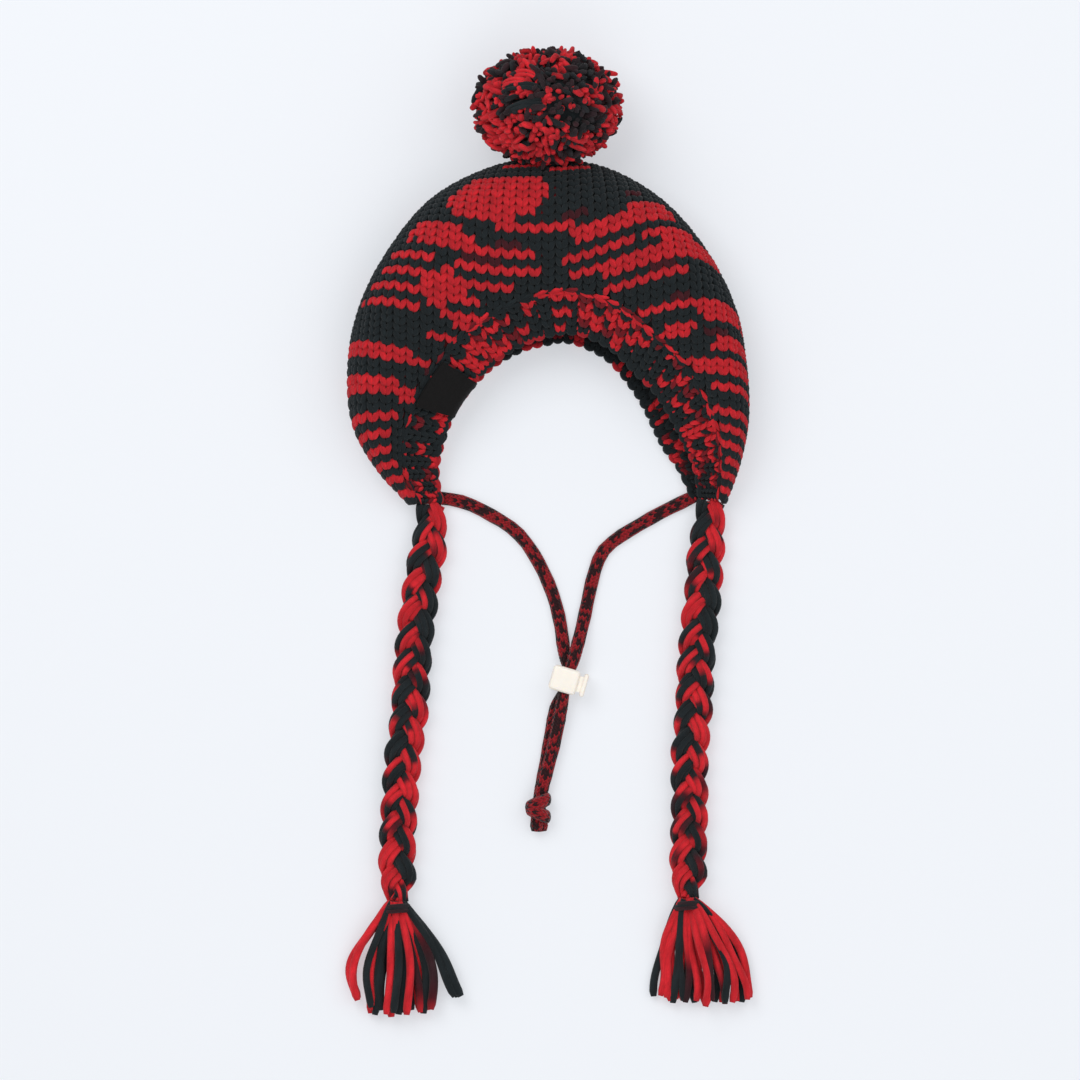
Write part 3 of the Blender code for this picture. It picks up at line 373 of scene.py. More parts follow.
def new_piece(name, vertices, faces, material, corner_uv=None, colours=None, smooth=True):
    """A mesh object from arrays: vertices, and faces as a list of index arrays with one row for each face."""
    mesh = bpy.data.meshes.new(name)
    loops = np.concatenate([f.ravel() for f in faces]).astype(np.int32)
    totals = np.concatenate([np.full(len(f), f.shape[1]) for f in faces]).astype(np.int32)
    starts = np.concatenate([[0], np.cumsum(totals)[:-1]]).astype(np.int32)
    mesh.vertices.add(len(vertices))
    mesh.loops.add(len(loops))
    mesh.polygons.add(len(totals))
    mesh.vertices.foreach_set("co", np.asarray(vertices, np.float32).ravel())
    mesh.loops.foreach_set("vertex_index", loops)
    mesh.polygons.foreach_set("loop_start", starts)
    mesh.polygons.foreach_set("loop_total", totals)
    mesh.update(calc_edges=True)
    if corner_uv is not None:
        layer = mesh.uv_layers.new(name="UVMap")
        layer.data.foreach_set("uv", np.concatenate(corner_uv).astype(np.float32).ravel())
    if colours is not None:
        shade = mesh.attributes.new("shade", "FLOAT_COLOR", "POINT")
        rgba = np.concatenate([colours, np.ones((len(colours), 1))], axis=1)
        shade.data.foreach_set("color", rgba.astype(np.float32).ravel())
    mesh.validate(clean_customdata=False)
    if smooth:
        mesh.shade_smooth()
    mesh.materials.append(material)
    return in_scene(name, mesh)


def tube_faces(length, around):
    """A tube's faces as vertex numbers: quads between its rings, and a fan round each of the two poles that
    follow the rings."""
    i, j = np.meshgrid(np.arange(length - 1), np.arange(around), indexing="ij")
    k = (j + 1) % around
    quads = np.stack([i * around + j, (i + 1) * around + j, (i + 1) * around + k, i * around + k], axis=-1)
    ring = np.arange(around)
    following = (ring + 1) % around
    last, pole = (length - 1) * around, length * around
    fans = [
        np.stack([np.full(around, pole), ring, following], axis=-1),
        np.stack([np.full(around, pole + 1), last + following, last + ring], axis=-1),
    ]
    return quads.reshape(-1, 4), np.concatenate(fans)


def lattice_uv(rows, columns):
    """The corners of a lattice's quads on a map: rows are the values along it, and columns those across it."""
    u, v = np.broadcast_arrays(rows[..., None], columns)
    near, far = slice(None, -1), slice(1, None)
    corners = [np.stack([u[..., i, j], v[..., i, j]], axis=-1)
               for i, j in ((near, near), (far, near), (far, far), (near, far))]
    return np.stack(corners, axis=-2).reshape(-1, 2)


def sweep(paths, normals, half_widths, half_heights, around, colours):
    """Yarn along one path or many. Each ring is an ellipse: centre + side * a cos(turn) + over * b sin(turn),
    where side is square to the path and to the surface's normal. Both ends close in a pole. Normals, sizes and
    colours can be given for every point, or once for each path or for all of them. The map counts centimetres
    along the yarn and turns round it."""
    paths = np.reshape(paths, (-1, *np.shape(paths)[-2:]))
    count, length = paths.shape[:2]
    ahead = unit(np.gradient(paths, axis=1))
    side = unit(np.cross(ahead, normals))
    over = unit(np.cross(side, ahead))
    turn = np.linspace(0, 2 * np.pi, around, endpoint=False)
    a = np.broadcast_to(half_widths, (count, length))[..., None, None]
    b = np.broadcast_to(half_heights, (count, length))[..., None, None]
    rings = (paths[:, :, None] + side[:, :, None] * a * np.cos(turn)[:, None]
             + over[:, :, None] * b * np.sin(turn)[:, None])
    vertices = np.concatenate([rings.reshape(count, -1, 3), paths[:, [0, -1]]], axis=1)
    first = (np.arange(count) * vertices.shape[1])[:, None, None]
    quads, fans = tube_faces(length, around)
    faces = [(quads + first).reshape(-1, 4), (fans + first).reshape(-1, 3)]
    run = way_along(paths) / 0.01
    fan_uv = np.zeros((count, 2 * around, 3, 2))
    fan_uv[..., 0] = np.repeat(run[:, [0, -1]], around, axis=1)[:, :, None]
    fan_uv[..., 1] = np.tile(np.arange(around) / around, 2)[:, None]
    shades = np.broadcast_to(colours, (count, length, 3))
    shades = np.concatenate([np.repeat(shades, around, axis=1), shades[:, [0, -1]]], axis=1)
    uv = [lattice_uv(run, np.arange(around + 1) / around), fan_uv.reshape(-1, 2)]
    return vertices.reshape(-1, 3), faces, uv, shades.reshape(-1, 3)


def yarn_piece(name, parts, material):
    """One object from a list of sweeps: their vertices follow one another and their faces count on."""
    points, faces, uv, shades = zip(*parts)
    firsts = np.cumsum([0, *map(len, points)])
    faces = [np.concatenate([pair[kind] + first for pair, first in zip(faces, firsts)]) for kind in (0, 1)]
    uv = [np.concatenate([pair[kind] for pair in uv]) for kind in (0, 1)]
    return new_piece(name, np.concatenate(points), faces, material, uv, np.concatenate(shades))


def nearest_strand_in_painted_shade(vertices, centres, colours):
    """Each vertex takes the colour of the strand whose centre is nearest to it, dimmed as painted shade."""
    nearest = [np.argmin(((centres[None] - block[:, None]) ** 2).sum(axis=2), axis=1)
               for block in np.array_split(vertices, max(1, len(vertices) // 500))]
    # The strand's colour dimmed as painted shade in the gaps between the stitches
    return colours[np.concatenate(nearest)] * WALL_PAINTED_SHADE


def lofted_piece(name, rings, material, quad_uv=None, strands=None):
    """A closed piece lofted through rings of equal length, with a fan round a pole at each end and its normals
    turned outwards. It takes its colours from the strands given, as their centres and their colours, dimmed as
    painted shade."""
    vertices = np.concatenate([rings.reshape(-1, 3), rings[[0, -1]].mean(axis=1)])
    quads, fans = tube_faces(*rings.shape[:2])
    if quad_uv is None:
        quad_uv = np.zeros((quads.size, 2))
    shades = None if strands is None else nearest_strand_in_painted_shade(vertices, *strands)
    piece = new_piece(name, vertices, [quads, fans], material, [quad_uv, np.zeros((fans.size, 2))], shades)
    mesh = bmesh.new()
    mesh.from_mesh(piece.data)
    bmesh.ops.recalc_face_normals(mesh, faces=mesh.faces)
    mesh.to_mesh(piece.data)
    mesh.free()
    return piece


def settle(piece, slot, *nodes):
    """The piece rides on the one body and stands for the nodes named; its slot is not used."""
    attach(piece, "root")
    if nodes:
        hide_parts(*nodes)
    return piece


class Shader:
    """Builds one material's nodes, each placed a step to the right of the last one."""

    def __init__(self, name):
        self.material = bpy.data.materials.new(name)
        self.material.use_nodes = True
        self.tree = self.material.node_tree
        self.main = self.tree.nodes["Principled BSDF"]
        self.place = -1800

    def node(self, kind, **inputs):
        """A new node. Its inputs are named with _ for each blank."""
        made = self.tree.nodes.new(kind)
        made.location = (self.place, 0)
        self.place += 60
        for key, value in inputs.items():
            self.put(made, key.replace("_", " "), value)
        return made

    def put(self, node, socket, value):
        """Links another node's output to an input, or sets the input's value."""
        if isinstance(value, bpy.types.NodeSocket):
            self.tree.links.new(value, node.inputs[socket])
        else:
            node.inputs[socket].default_value = value

    def maths(self, operation, a, b=0.0):
        """One step of arithmetic."""
        made = self.node("ShaderNodeMath")
        made.operation = operation
        self.put(made, 0, a)
        self.put(made, 1, b)
        return made.outputs[0]

    def times(self, a, b):
        """The product of two values."""
        return self.maths("MULTIPLY", a, b)

    def plus(self, first, *others):
        """The sum of some values."""
        for other in others:
            first = self.maths("ADD", first, other)
        return first

    def sine(self, value, waves=1):
        """The sine of a value that goes through this many waves as it goes from 0 to 1."""
        return self.maths("SINE", self.times(value, 2 * math.pi * waves))

    def mix(self, share, a, b, how="MIX"):
        """Two colours mixed by a share."""
        made = self.node("ShaderNodeMix")
        made.data_type = "RGBA"
        made.blend_type = how
        for socket, value in ((0, share), (6, a), (7, b)):
            self.put(made, socket, value)
        return made.outputs[2]

    def shaded(self, colour, tone):
        """A colour times a grey value."""
        grey = self.node("ShaderNodeCombineColor", Red=tone, Green=tone, Blue=tone)
        return self.mix(1.0, colour, grey.outputs["Color"], "MULTIPLY")

    def noise(self, place, scale, detail=3.0, rough=0.6):
        """Fractal noise from 0 to 1."""
        made = self.node("ShaderNodeTexNoise", Vector=place, Scale=scale, Detail=detail, Roughness=rough)
        return made.outputs["Fac"]

    def objects(self):
        """The place on the object, in metres."""
        return self.node("ShaderNodeTexCoord").outputs["Object"]

    def own_map(self):
        """The two values of the piece's own map."""
        place = self.node("ShaderNodeUVMap")
        place.uv_map = "UVMap"
        split = self.node("ShaderNodeSeparateXYZ", Vector=place.outputs["UV"])
        return split.outputs["X"], split.outputs["Y"]

    def at(self, x, y):
        """A place from two values."""
        return self.node("ShaderNodeCombineXYZ", X=x, Y=y).outputs["Vector"]

    def bump(self, height, strength, distance):
        """Relief from a height."""
        made = self.node("ShaderNodeBump", Height=height, Strength=strength, Distance=distance)
        self.put(self.main, "Normal", made.outputs["Normal"])

    def finish(self, colour, roughness=0.85, sheen=0.0, coat=0.0, shine=0.2):
        """The material itself, once its colour is linked and its constants are set."""
        self.put(self.main, "Base Color", colour)
        self.main.inputs["Roughness"].default_value = roughness
        self.main.inputs["Sheen Weight"].default_value = sheen
        self.main.inputs["Sheen Roughness"].default_value = 0.45
        self.main.inputs["Coat Weight"].default_value = coat
        self.main.inputs["Specular IOR Level"].default_value = shine
        return self.material


def yarn_finish(name, twist, groove, fibre):
    """Soft two-ply yarn. The colour comes from the strand, with painted shade in the grooves between its plies,
    which turn round it, and lengthwise fibres and loose fuzz as bump."""
    make = Shader(name)
    along, round_it = make.own_map()
    place = make.objects()
    turn = make.plus(make.times(round_it, 2.0), make.times(along, twist))
    ply = make.plus(make.times(make.sine(turn), 0.5), 0.5)
    fibres = make.at(make.times(along, 5.0), make.plus(make.times(round_it, 26.0), make.times(along, 7.0)))
    streak = make.noise(fibres, 1.0, 4.0, 0.65)
    fuzz = make.noise(place, 2600.0, 3.0, 0.7)
    cloud = make.noise(place, 240.0, 2.0, 0.5)
    strand = make.node("ShaderNodeAttribute")
    strand.attribute_name = "shade"
    light = make.plus(make.times(streak, 0.75), make.times(cloud, 0.45), make.times(fuzz, 0.35), 0.25)
    # The grooves between the plies are darkened as painted shade
    light = make.times(light, make.plus(make.times(ply, groove), 1.0 - groove))
    height = make.plus(make.times(ply, groove), make.times(streak, fibre), make.times(fuzz, fibre * 0.6))
    make.bump(height, 0.75, 0.0009)
    return make.finish(make.shaded(strand.outputs["Color"], light), 0.9, SHEEN)


def wave_field(x, y, a, b, c):
    """A smooth field without repeats to the eye: the sum of three sines along slanted lines."""
    return np.sin(a * x + 1.3 * b * y) + np.sin(b * x - c * y + 1.7) + np.sin(c * x + a * y + 4.1)


# Stockinette


def leg_profile(count):
    """One leg of a stitch from its foot to its head: x runs from the wale's middle to its side and y over the
    row. The foot lies over the row below, the head dives under the row above, and the thickness is a lens."""
    t = np.linspace(0, 1, count)
    foot, head = np.clip((0.16 - t) / 0.16, 0, 1), np.clip((t - 0.50) / 0.50, 0, 1)
    swell = np.sin(np.pi * np.clip(0.08 + 0.86 * t, 0, 1)) ** 0.5
    return LEG_INNER + LEG_LEAN * t**1.1, LEG_FOOT + LEG_REACH * t, head**1.6 + 0.55 * foot, 0.12 + 0.88 * swell


def knit_legs(field, row, wale, colours, count, around, proud, yarn, pitch=1.0):
    """Both legs of every stitch as sweeps of count rings. The field gives the surface and the way that it faces
    at fractional rows and wales, and a leg's middle line is surface + facing * depth. yarn holds its half width,
    its half height and how far its ends dive."""
    x, y, dive, swell = leg_profile(count)
    half_width, half_height, sink = yarn
    size = np.reshape(pitch, (-1, 1)) * swell
    parts = []
    for side, shades in zip((-1.0, 1.0), colours):
        at_row, at_wale = row[:, None] + y, wale[:, None] + side * x
        out = unit(field.facing(at_row, at_wale))
        middle = field.surface(at_row, at_wale) + out * (proud - half_height - sink * dive)[:, None]
        parts.append(sweep(middle, out, half_width * size, half_height * size, around, shades[:, None]))
    return parts


def crown_skin(stations, first, last, steps):
    """The crown's skin as a grid of points, with its cuts: stations round the arch from tip to tip, and across
    each of them steps from one row of SKIN to another."""
    cuts = Cuts(np.linspace(0.03, LAST_PLACE - 0.03, stations)[:, None])
    across, rise = through(SKIN, np.linspace(first, last, steps)).T
    return cuts.point(across * (cuts.seam - SEAM_GAP / 2), rise * cuts.puff), cuts


class KnitField:
    """One panel of the crown, unrolled, with its rows and wales. Each point of the skin has flat coordinates:
    its front or back seam point plus the outward direction times the way along the skin. The grid goes on past
    the skin's edges by pad steps, mirrored through them."""
    pad = 12

    def __init__(self, knit, first, last, steps):
        skin, cuts = crown_skin(241, first, last, steps)
        flat = skin[:, :1, :2] - cuts.inward * way_along(skin)[..., None]
        edges = ((self.pad, self.pad), (self.pad, self.pad), (0, 0))
        grid = np.pad(np.concatenate([skin, flat], axis=2), edges, mode="reflect", reflect_type="odd")
        self.skin = grid[..., :3]
        normal = unit(np.cross(np.gradient(self.skin, axis=0), np.gradient(self.skin, axis=1)))
        wanted = 1.0 if first > last else -1.0
        self.normal = normal * np.sign(normal[len(normal) // 2, self.pad + 2, 2] * wanted)
        self.field = self.rows_and_wales(knit, grid[..., 3], grid[..., 4])
        self.lowest = np.floor(self.field.reshape(-1, 2).min(axis=0)).astype(int)
        highest = np.ceil(self.field.reshape(-1, 2).max(axis=0)).astype(int)
        self.count = highest - self.lowest + 1
        self.lay_lattice()

    @staticmethod
    def rows_and_wales(knit, x, y):
        """How many rows and wales from the start a point is. A row's height over the plan is a base line plus
        an outer line that takes over towards the flaps, both summed up from their slopes. Rows lie closer from
        35 mm below the first one down, and wales draw together towards the crown's top."""
        half, step = 0.16, 0.0005
        reach = np.linspace(-half, half, 641)
        lines = []
        for table in (ROW_SLOPES, FLAP_SLOPES):
            places, slopes = np.array(table).T
            line = np.concatenate([[0], np.cumsum(np.interp(reach[1:] - step / 2, places, slopes) * step)])
            lines.append(np.interp(x, reach, line - line[len(line) // 2]))
        low = np.clip((FLAP_TOP - y) / FLAP_BLEND, 0, 1)
        height = y - lines[0] - lines[1] * low * low * (3 - 2 * low) - knit.level
        closer = np.minimum(height + 0.035, 0) * 0.20
        drawn_in = 1 - 0.12 * np.clip((y + 0.03) / 0.10, 0, 1.3) ** 2
        return np.stack([(height + closer) / knit.row_height, x / drawn_in / knit.wale_width], axis=-1)

    def solve(self, targets):
        """Where on the grid the field has each target: the nearest grid point, then Newton's steps."""
        flat = self.field.reshape(-1, 2)
        nearest = np.concatenate([
            np.argmin(((flat[None] - block[:, None]) ** 2).sum(axis=2), axis=1)
            for block in np.array_split(targets, max(1, len(targets) // 400))
        ])
        a, b = np.divmod(nearest, self.field.shape[1])
        a, b = a.astype(float), b.astype(float)
        for _ in range(8):
            miss = sample(self.field, a, b) - targets
            by_a = sample(self.field, a + 0.5, b) - sample(self.field, a - 0.5, b)
            by_b = sample(self.field, a, b + 0.5) - sample(self.field, a, b - 0.5)
            area = by_a[:, 0] * by_b[:, 1] - by_a[:, 1] * by_b[:, 0]
            area = np.where(np.abs(area) < 1e-9, 1e-9, area)
            step_a = (miss[:, 0] * by_b[:, 1] - miss[:, 1] * by_b[:, 0]) / area
            step_b = (by_a[:, 0] * miss[:, 1] - by_a[:, 1] * miss[:, 0]) / area
            a = np.clip(a - np.clip(step_a, -3, 3), 0.5, self.field.shape[0] - 1.5)
            b = np.clip(b - np.clip(step_b, -3, 3), 0.5, self.field.shape[1] - 1.5)
        miss = np.abs(sample(self.field, a, b) - targets).max(axis=1)
        return a, b, miss < 0.08

    def lay_lattice(self):
        """The skin's points and normals at every half row and half wale."""
        rows = np.arange(0, 2 * self.count[0] - 1) / 2 + self.lowest[0]
        wales = np.arange(0, 2 * self.count[1] - 1) / 2 + self.lowest[1]
        targets = np.stack(np.meshgrid(rows, wales, indexing="ij"), axis=-1)
        a, b, found = self.solve(targets.reshape(-1, 2))
        shape = targets.shape[:2]
        self.found = found.reshape(shape).astype(float)
        self.points = sample(self.skin, a, b).reshape(*shape, 3)
        self.normals = unit(sample(self.normal, a, b)).reshape(*shape, 3)
        low = self.pad
        inside_a = (a > low - 0.8) & (a < self.field.shape[0] - low - 0.2)
        inside_b = (b > low - 0.2) & (b < self.field.shape[1] - low - 0.2)
        whole = (found & inside_a & inside_b).reshape(shape)[::2, ::2]
        row, wale = np.nonzero(whole)
        around = [(row * 2 + i, wale * 2 + j) for i in (-1, 0, 1) for j in (-1, 0, 1)]
        known = np.ones(len(row), bool)
        for i, j in around:
            i = np.clip(i, 0, shape[0] - 1)
            j = np.clip(j, 0, shape[1] - 1)
            known &= self.found[i, j] > 0.5
        self.row = (row + self.lowest[0])[known].astype(float)
        self.wale = (wale + self.lowest[1])[known].astype(float)

    def lattice_at(self, lattice, row, wale):
        """A lattice's values at fractional rows and wales."""
        return sample(lattice, 2 * (row - self.lowest[0]), 2 * (wale - self.lowest[1]))

    def surface(self, row, wale):
        """Points of the skin."""
        return self.lattice_at(self.points, row, wale)

    def facing(self, row, wale):
        """The skin's outward normals."""
        return self.lattice_at(self.normals, row, wale)


def mix_colours(settings, share):
    """Yarn colours from charcoal through maroon to red, for shares from 0 to 1."""
    stops = np.array([settings.charcoal, settings.maroon, settings.red])
    share = np.clip(share, 0, 1)
    return np.stack([np.interp(share, (0.0, 0.5, 1.0), stops[:, i]) for i in range(3)], axis=-1)


def dyed(settings, share, rng, amount):
    """Yarn colours for shares of red, with their brightness varied a little from strand to strand."""
    colours = mix_colours(settings, share)
    return colours * (1 + amount * rng.uniform(-1, 1, (len(colours), 1)))


def front_shares(field, rng):
    """How red the left and the right leg of each front stitch is, from the charted runs."""
    middle = field.surface(field.row, field.wale)[:, 0] * 1000 + rng.normal(0, 1.0, len(field.row))
    shares = np.zeros((2, len(field.row)))
    for leg, across in enumerate((middle - 1.7, middle + 1.7)):
        for runs, level in ((MAROON_RUNS, 0.4), (RED_RUNS, 1.0)):
            for start, end, top, rows in runs:
                hit = (field.row <= top) & (field.row > top - rows) & (across >= start) & (across <= end)
                shares[leg, hit] = level
    return np.clip(shares - 0.10 * (shares > 0.9) * rng.random(len(field.row)), 0, 1)


def pooled_shares(row, wale, rng, width=34, repeat=57.0):
    """How red each stitch is where the yarn pools: the yarn runs to and fro along the rows, and its dye changes
    with every repeat of stitches."""
    even = np.mod(row, 2) < 1
    along = row * width + np.where(even, wale, width - wale)
    phase = np.mod(along / repeat + 0.02 * rng.standard_normal(len(row)), 1.0)
    return np.clip((0.25 - np.abs(phase - 0.5)) * 16 + 0.5, 0, 1)


# The settings that a user would change


def length_setting(name, description, metres):
    """A length that a user can set."""
    return bpy.props.FloatProperty(name=name, description=description, default=metres, unit="LENGTH")


def count_setting(name, description, count):
    """A whole number that a user can set."""
    return bpy.props.IntProperty(name=name, description=description, default=count)


def colour_setting(name, description, *screen):
    """A colour that a user can set, from its screen values."""
    return bpy.props.FloatVectorProperty(
        name=name, description=description, subtype="COLOR", size=3, default=tuple(linear(screen)))


class KnitSettings(bpy.types.PropertyGroup):
    """The stitches' sizes and the yarn's colours"""
    wale_width: length_setting("Wale width", "Width of one stitch", 0.00685)
    row_height: length_setting("Row height", "Height of one row where the rows are level", 0.0045)
    level: length_setting("First row", "Height of the row that the others count from", -0.015)
    yarn_thickness: length_setting("Yarn thickness", "Thickness of the yarn over the fabric", 0.0030)
    rib_width: length_setting("Rib width", "Width of one rib of the band", 0.0066)
    red: colour_setting("Red", "The yarn's red", 218, 38, 48)
    charcoal: colour_setting("Charcoal", "The yarn's charcoal", 30, 37, 40)
    maroon: colour_setting("Maroon", "The yarn where its red and its charcoal meet", 78, 18, 28)


class PompomSettings(bpy.types.PropertyGroup):
    """The pompom's cut yarn"""
    yarns: count_setting("Yarn ends", "Number of cut yarn ends", 1500)
    yarn_radius: length_setting("Yarn radius", "Half the thickness of a cut end", 0.0014)


class TieSettings(bpy.types.PropertyGroup):
    """The ties' and tassels' yarns"""
    plies: count_setting("Yarns in a strand", "Yarns side by side in one strand", 5)
    yarn_radius: length_setting("Yarn radius", "Half the thickness of a plaited yarn", 0.00168)
    tassel_yarns: count_setting("Tassel yarns", "Yarn ends in one tassel", 26)


class CordSettings(bpy.types.PropertyGroup):
    """The chin cord's and its lock's colours"""
    dark: colour_setting("Cord dark", "The cord's dark yarn", 48, 11, 17)
    bright: colour_setting("Cord red", "The cord's red yarn", 162, 22, 33)
    ivory: colour_setting("Lock colour", "The cord lock's plastic", 255, 247, 236)


class StageSettings(bpy.types.PropertyGroup):
    """The floor and the camera"""
    floor: colour_setting("Floor", "The floor's colour", 241, 244, 249)
    lens: bpy.props.FloatProperty(name="Lens", description="The camera's focal length", default=400.0, unit="CAMERA")


# The pieces


class BEANIE_OT_crown(bpy.types.Operator):
    """Knits the crown: a wall of yarn below, and every stitch of the front and the back panel on it"""
    bl_idname = "beanie.crown"
    bl_label = "Crown"

    def execute(self, context):
        knit = context.scene.beanie_knit
        rng = np.random.default_rng(11)
        finish = yarn_finish("crown_yarn", 0.55, 0.30, 0.5)
        front = KnitField(knit, 14.0, 4.4, 85)
        back = KnitField(knit, 0.0, 4.4, 45)
        front_share = front_shares(front, rng)
        back_share = pooled_shares(back.row - back.row.min(), back.wale - back.wale.min(), rng)
        centres = np.concatenate([field.surface(field.row, field.wale) for field in (front, back)])
        self.wall(finish, centres, mix_colours(knit, np.concatenate([front_share[0], back_share])))
        thick = knit.yarn_thickness / 2
        yarn = (knit.wale_width * 0.232, thick, thick * 1.5)
        for name, field, shares, proud, count, around in (
            ("crown_front", front, front_share, FRONT_PROUD, 6, 8),
            ("crown_back", back, (back_share, back_share), 0.0, 5, 6),
        ):
            colours = np.stack([dyed(knit, leg, rng, CROWN_VARIES) for leg in shares])
            left = field.surface(field.row, field.wale)[:, 0] < 0
            halves = {f"{name}_left": left, f"{name}_right": ~left} if field is front else {name: slice(None)}
            for half, chosen in halves.items():
                legs = knit_legs(field, field.row[chosen], field.wale[chosen], colours[:, chosen], count, around,
                                 proud, yarn)
                settle(yarn_piece(f"{half}_stitches", legs, finish), "knitted_yarn")
        return {"FINISHED"}

    def wall(self, finish, centres, colours):
        """The fabric behind the stitches: the skin sunk below the yarn, and the same skin again further in, both
        less where the pouch is narrow or low. Its colour is the nearest stitch's, dimmed as painted shade."""
        skin, cuts = crown_skin(161, 0, len(SKIN) - 1, 61)
        normal = unit(np.cross(np.gradient(skin, axis=1), np.gradient(skin, axis=0)))
        normal *= np.sign(normal[len(normal) // 2, -2, 2])
        room = np.minimum(cuts.seam / 0.018, cuts.puff / 0.0225).clip(0.3, 1)[..., None]
        outer, inner = (skin - normal * depth * room for depth in (WALL_SINK, KNIT_WALL))
        rings = np.concatenate([outer, inner[:, ::-1]], axis=1)
        uv = lattice_uv(np.linspace(0, 60, rings.shape[0]), np.linspace(0, 20, rings.shape[1] + 1))
        piece = lofted_piece("crown_wall", rings, finish, uv, (centres, colours))
        settle(piece, "knitted_yarn", "crown")


def strip_frame(cuts):
    """The front band's start and end across a cut, and the directions along and out of it, as two columns."""
    start = np.stack([cuts.seam + SEAM_GAP / 2, SEAM_RISE * cuts.puff], axis=-1)
    end = np.stack([cuts.width, EDGE_RISE * cuts.puff], axis=-1)
    along = unit(end - start)
    out = np.stack([-along[..., 1], along[..., 0]], axis=-1)
    return start, end, along, out


def front_strip(places, share):
    """A point of the front band's face at a share of the way from its seam to its rim, its outward normal, and
    its cut."""
    cuts = Cuts(places)
    start, end, _, out = strip_frame(cuts)
    flat = start + (end - start) * share[..., None]
    return cuts.point(flat[..., 0], flat[..., 1]), cuts.direction(out[..., 0], out[..., 1]), cuts


def back_strip(places, share):
    """The same for the back band's upper face, which is level and BAND_WALL high."""
    cuts = Cuts(places)
    start = cuts.seam + SEAM_GAP / 2
    across = start + (cuts.width + cuts.back_reach - start) * share
    return cuts.point(across, BAND_WALL), np.broadcast_to(UP, (*np.shape(places), 3)), cuts


class RibField:
    """A strip of the band: rows run along it and ribs across it, spaced evenly along its middle. Its stitches
    stand proud of its face, and its bound edge may lie lower."""

    def __init__(self, strip, rib_width, rows, proud, lower):
        self.strip = strip
        self.rows = rows
        self.proud = proud
        self.lower = lower
        places = np.linspace(0, LAST_PLACE, 400)
        along = way_along(strip(places, np.full(len(places), 0.45))[0])
        self.ribs = int(round(along[-1] / rib_width))
        self.places = np.interp(np.linspace(0, along[-1], 4 * self.ribs + 1), along, places)

    def spot(self, row, rib):
        """The place round the arch and the share of the strip's width at fractional rows and ribs."""
        return np.interp(rib * 4, np.arange(len(self.places)), self.places), 1 - (row + 0.5) / self.rows

    def surface(self, row, rib):
        """Points of the strip's face."""
        return self.strip(*self.spot(row, rib))[0]

    def facing(self, row, rib):
        """The face's outward normals."""
        return self.strip(*self.spot(row, rib))[1]


def band_shares(points, rng):
    """How red each stitch of the band is: red and charcoal stitches are scattered, and each patch of the chart
    has a share of red ones of its own."""
    x, y = points[:, :2].T * 1000
    density = np.full(len(x), 0.15)
    for left, right, bottom, top, share in BAND_PATCHES:
        density[(x > left) & (x < right) & (y > bottom) & (y < top)] = share
    drawn = rng.random(len(x))
    return np.where(drawn < density, np.where(drawn < density * 0.75, 1.0, 0.6), 0.0)


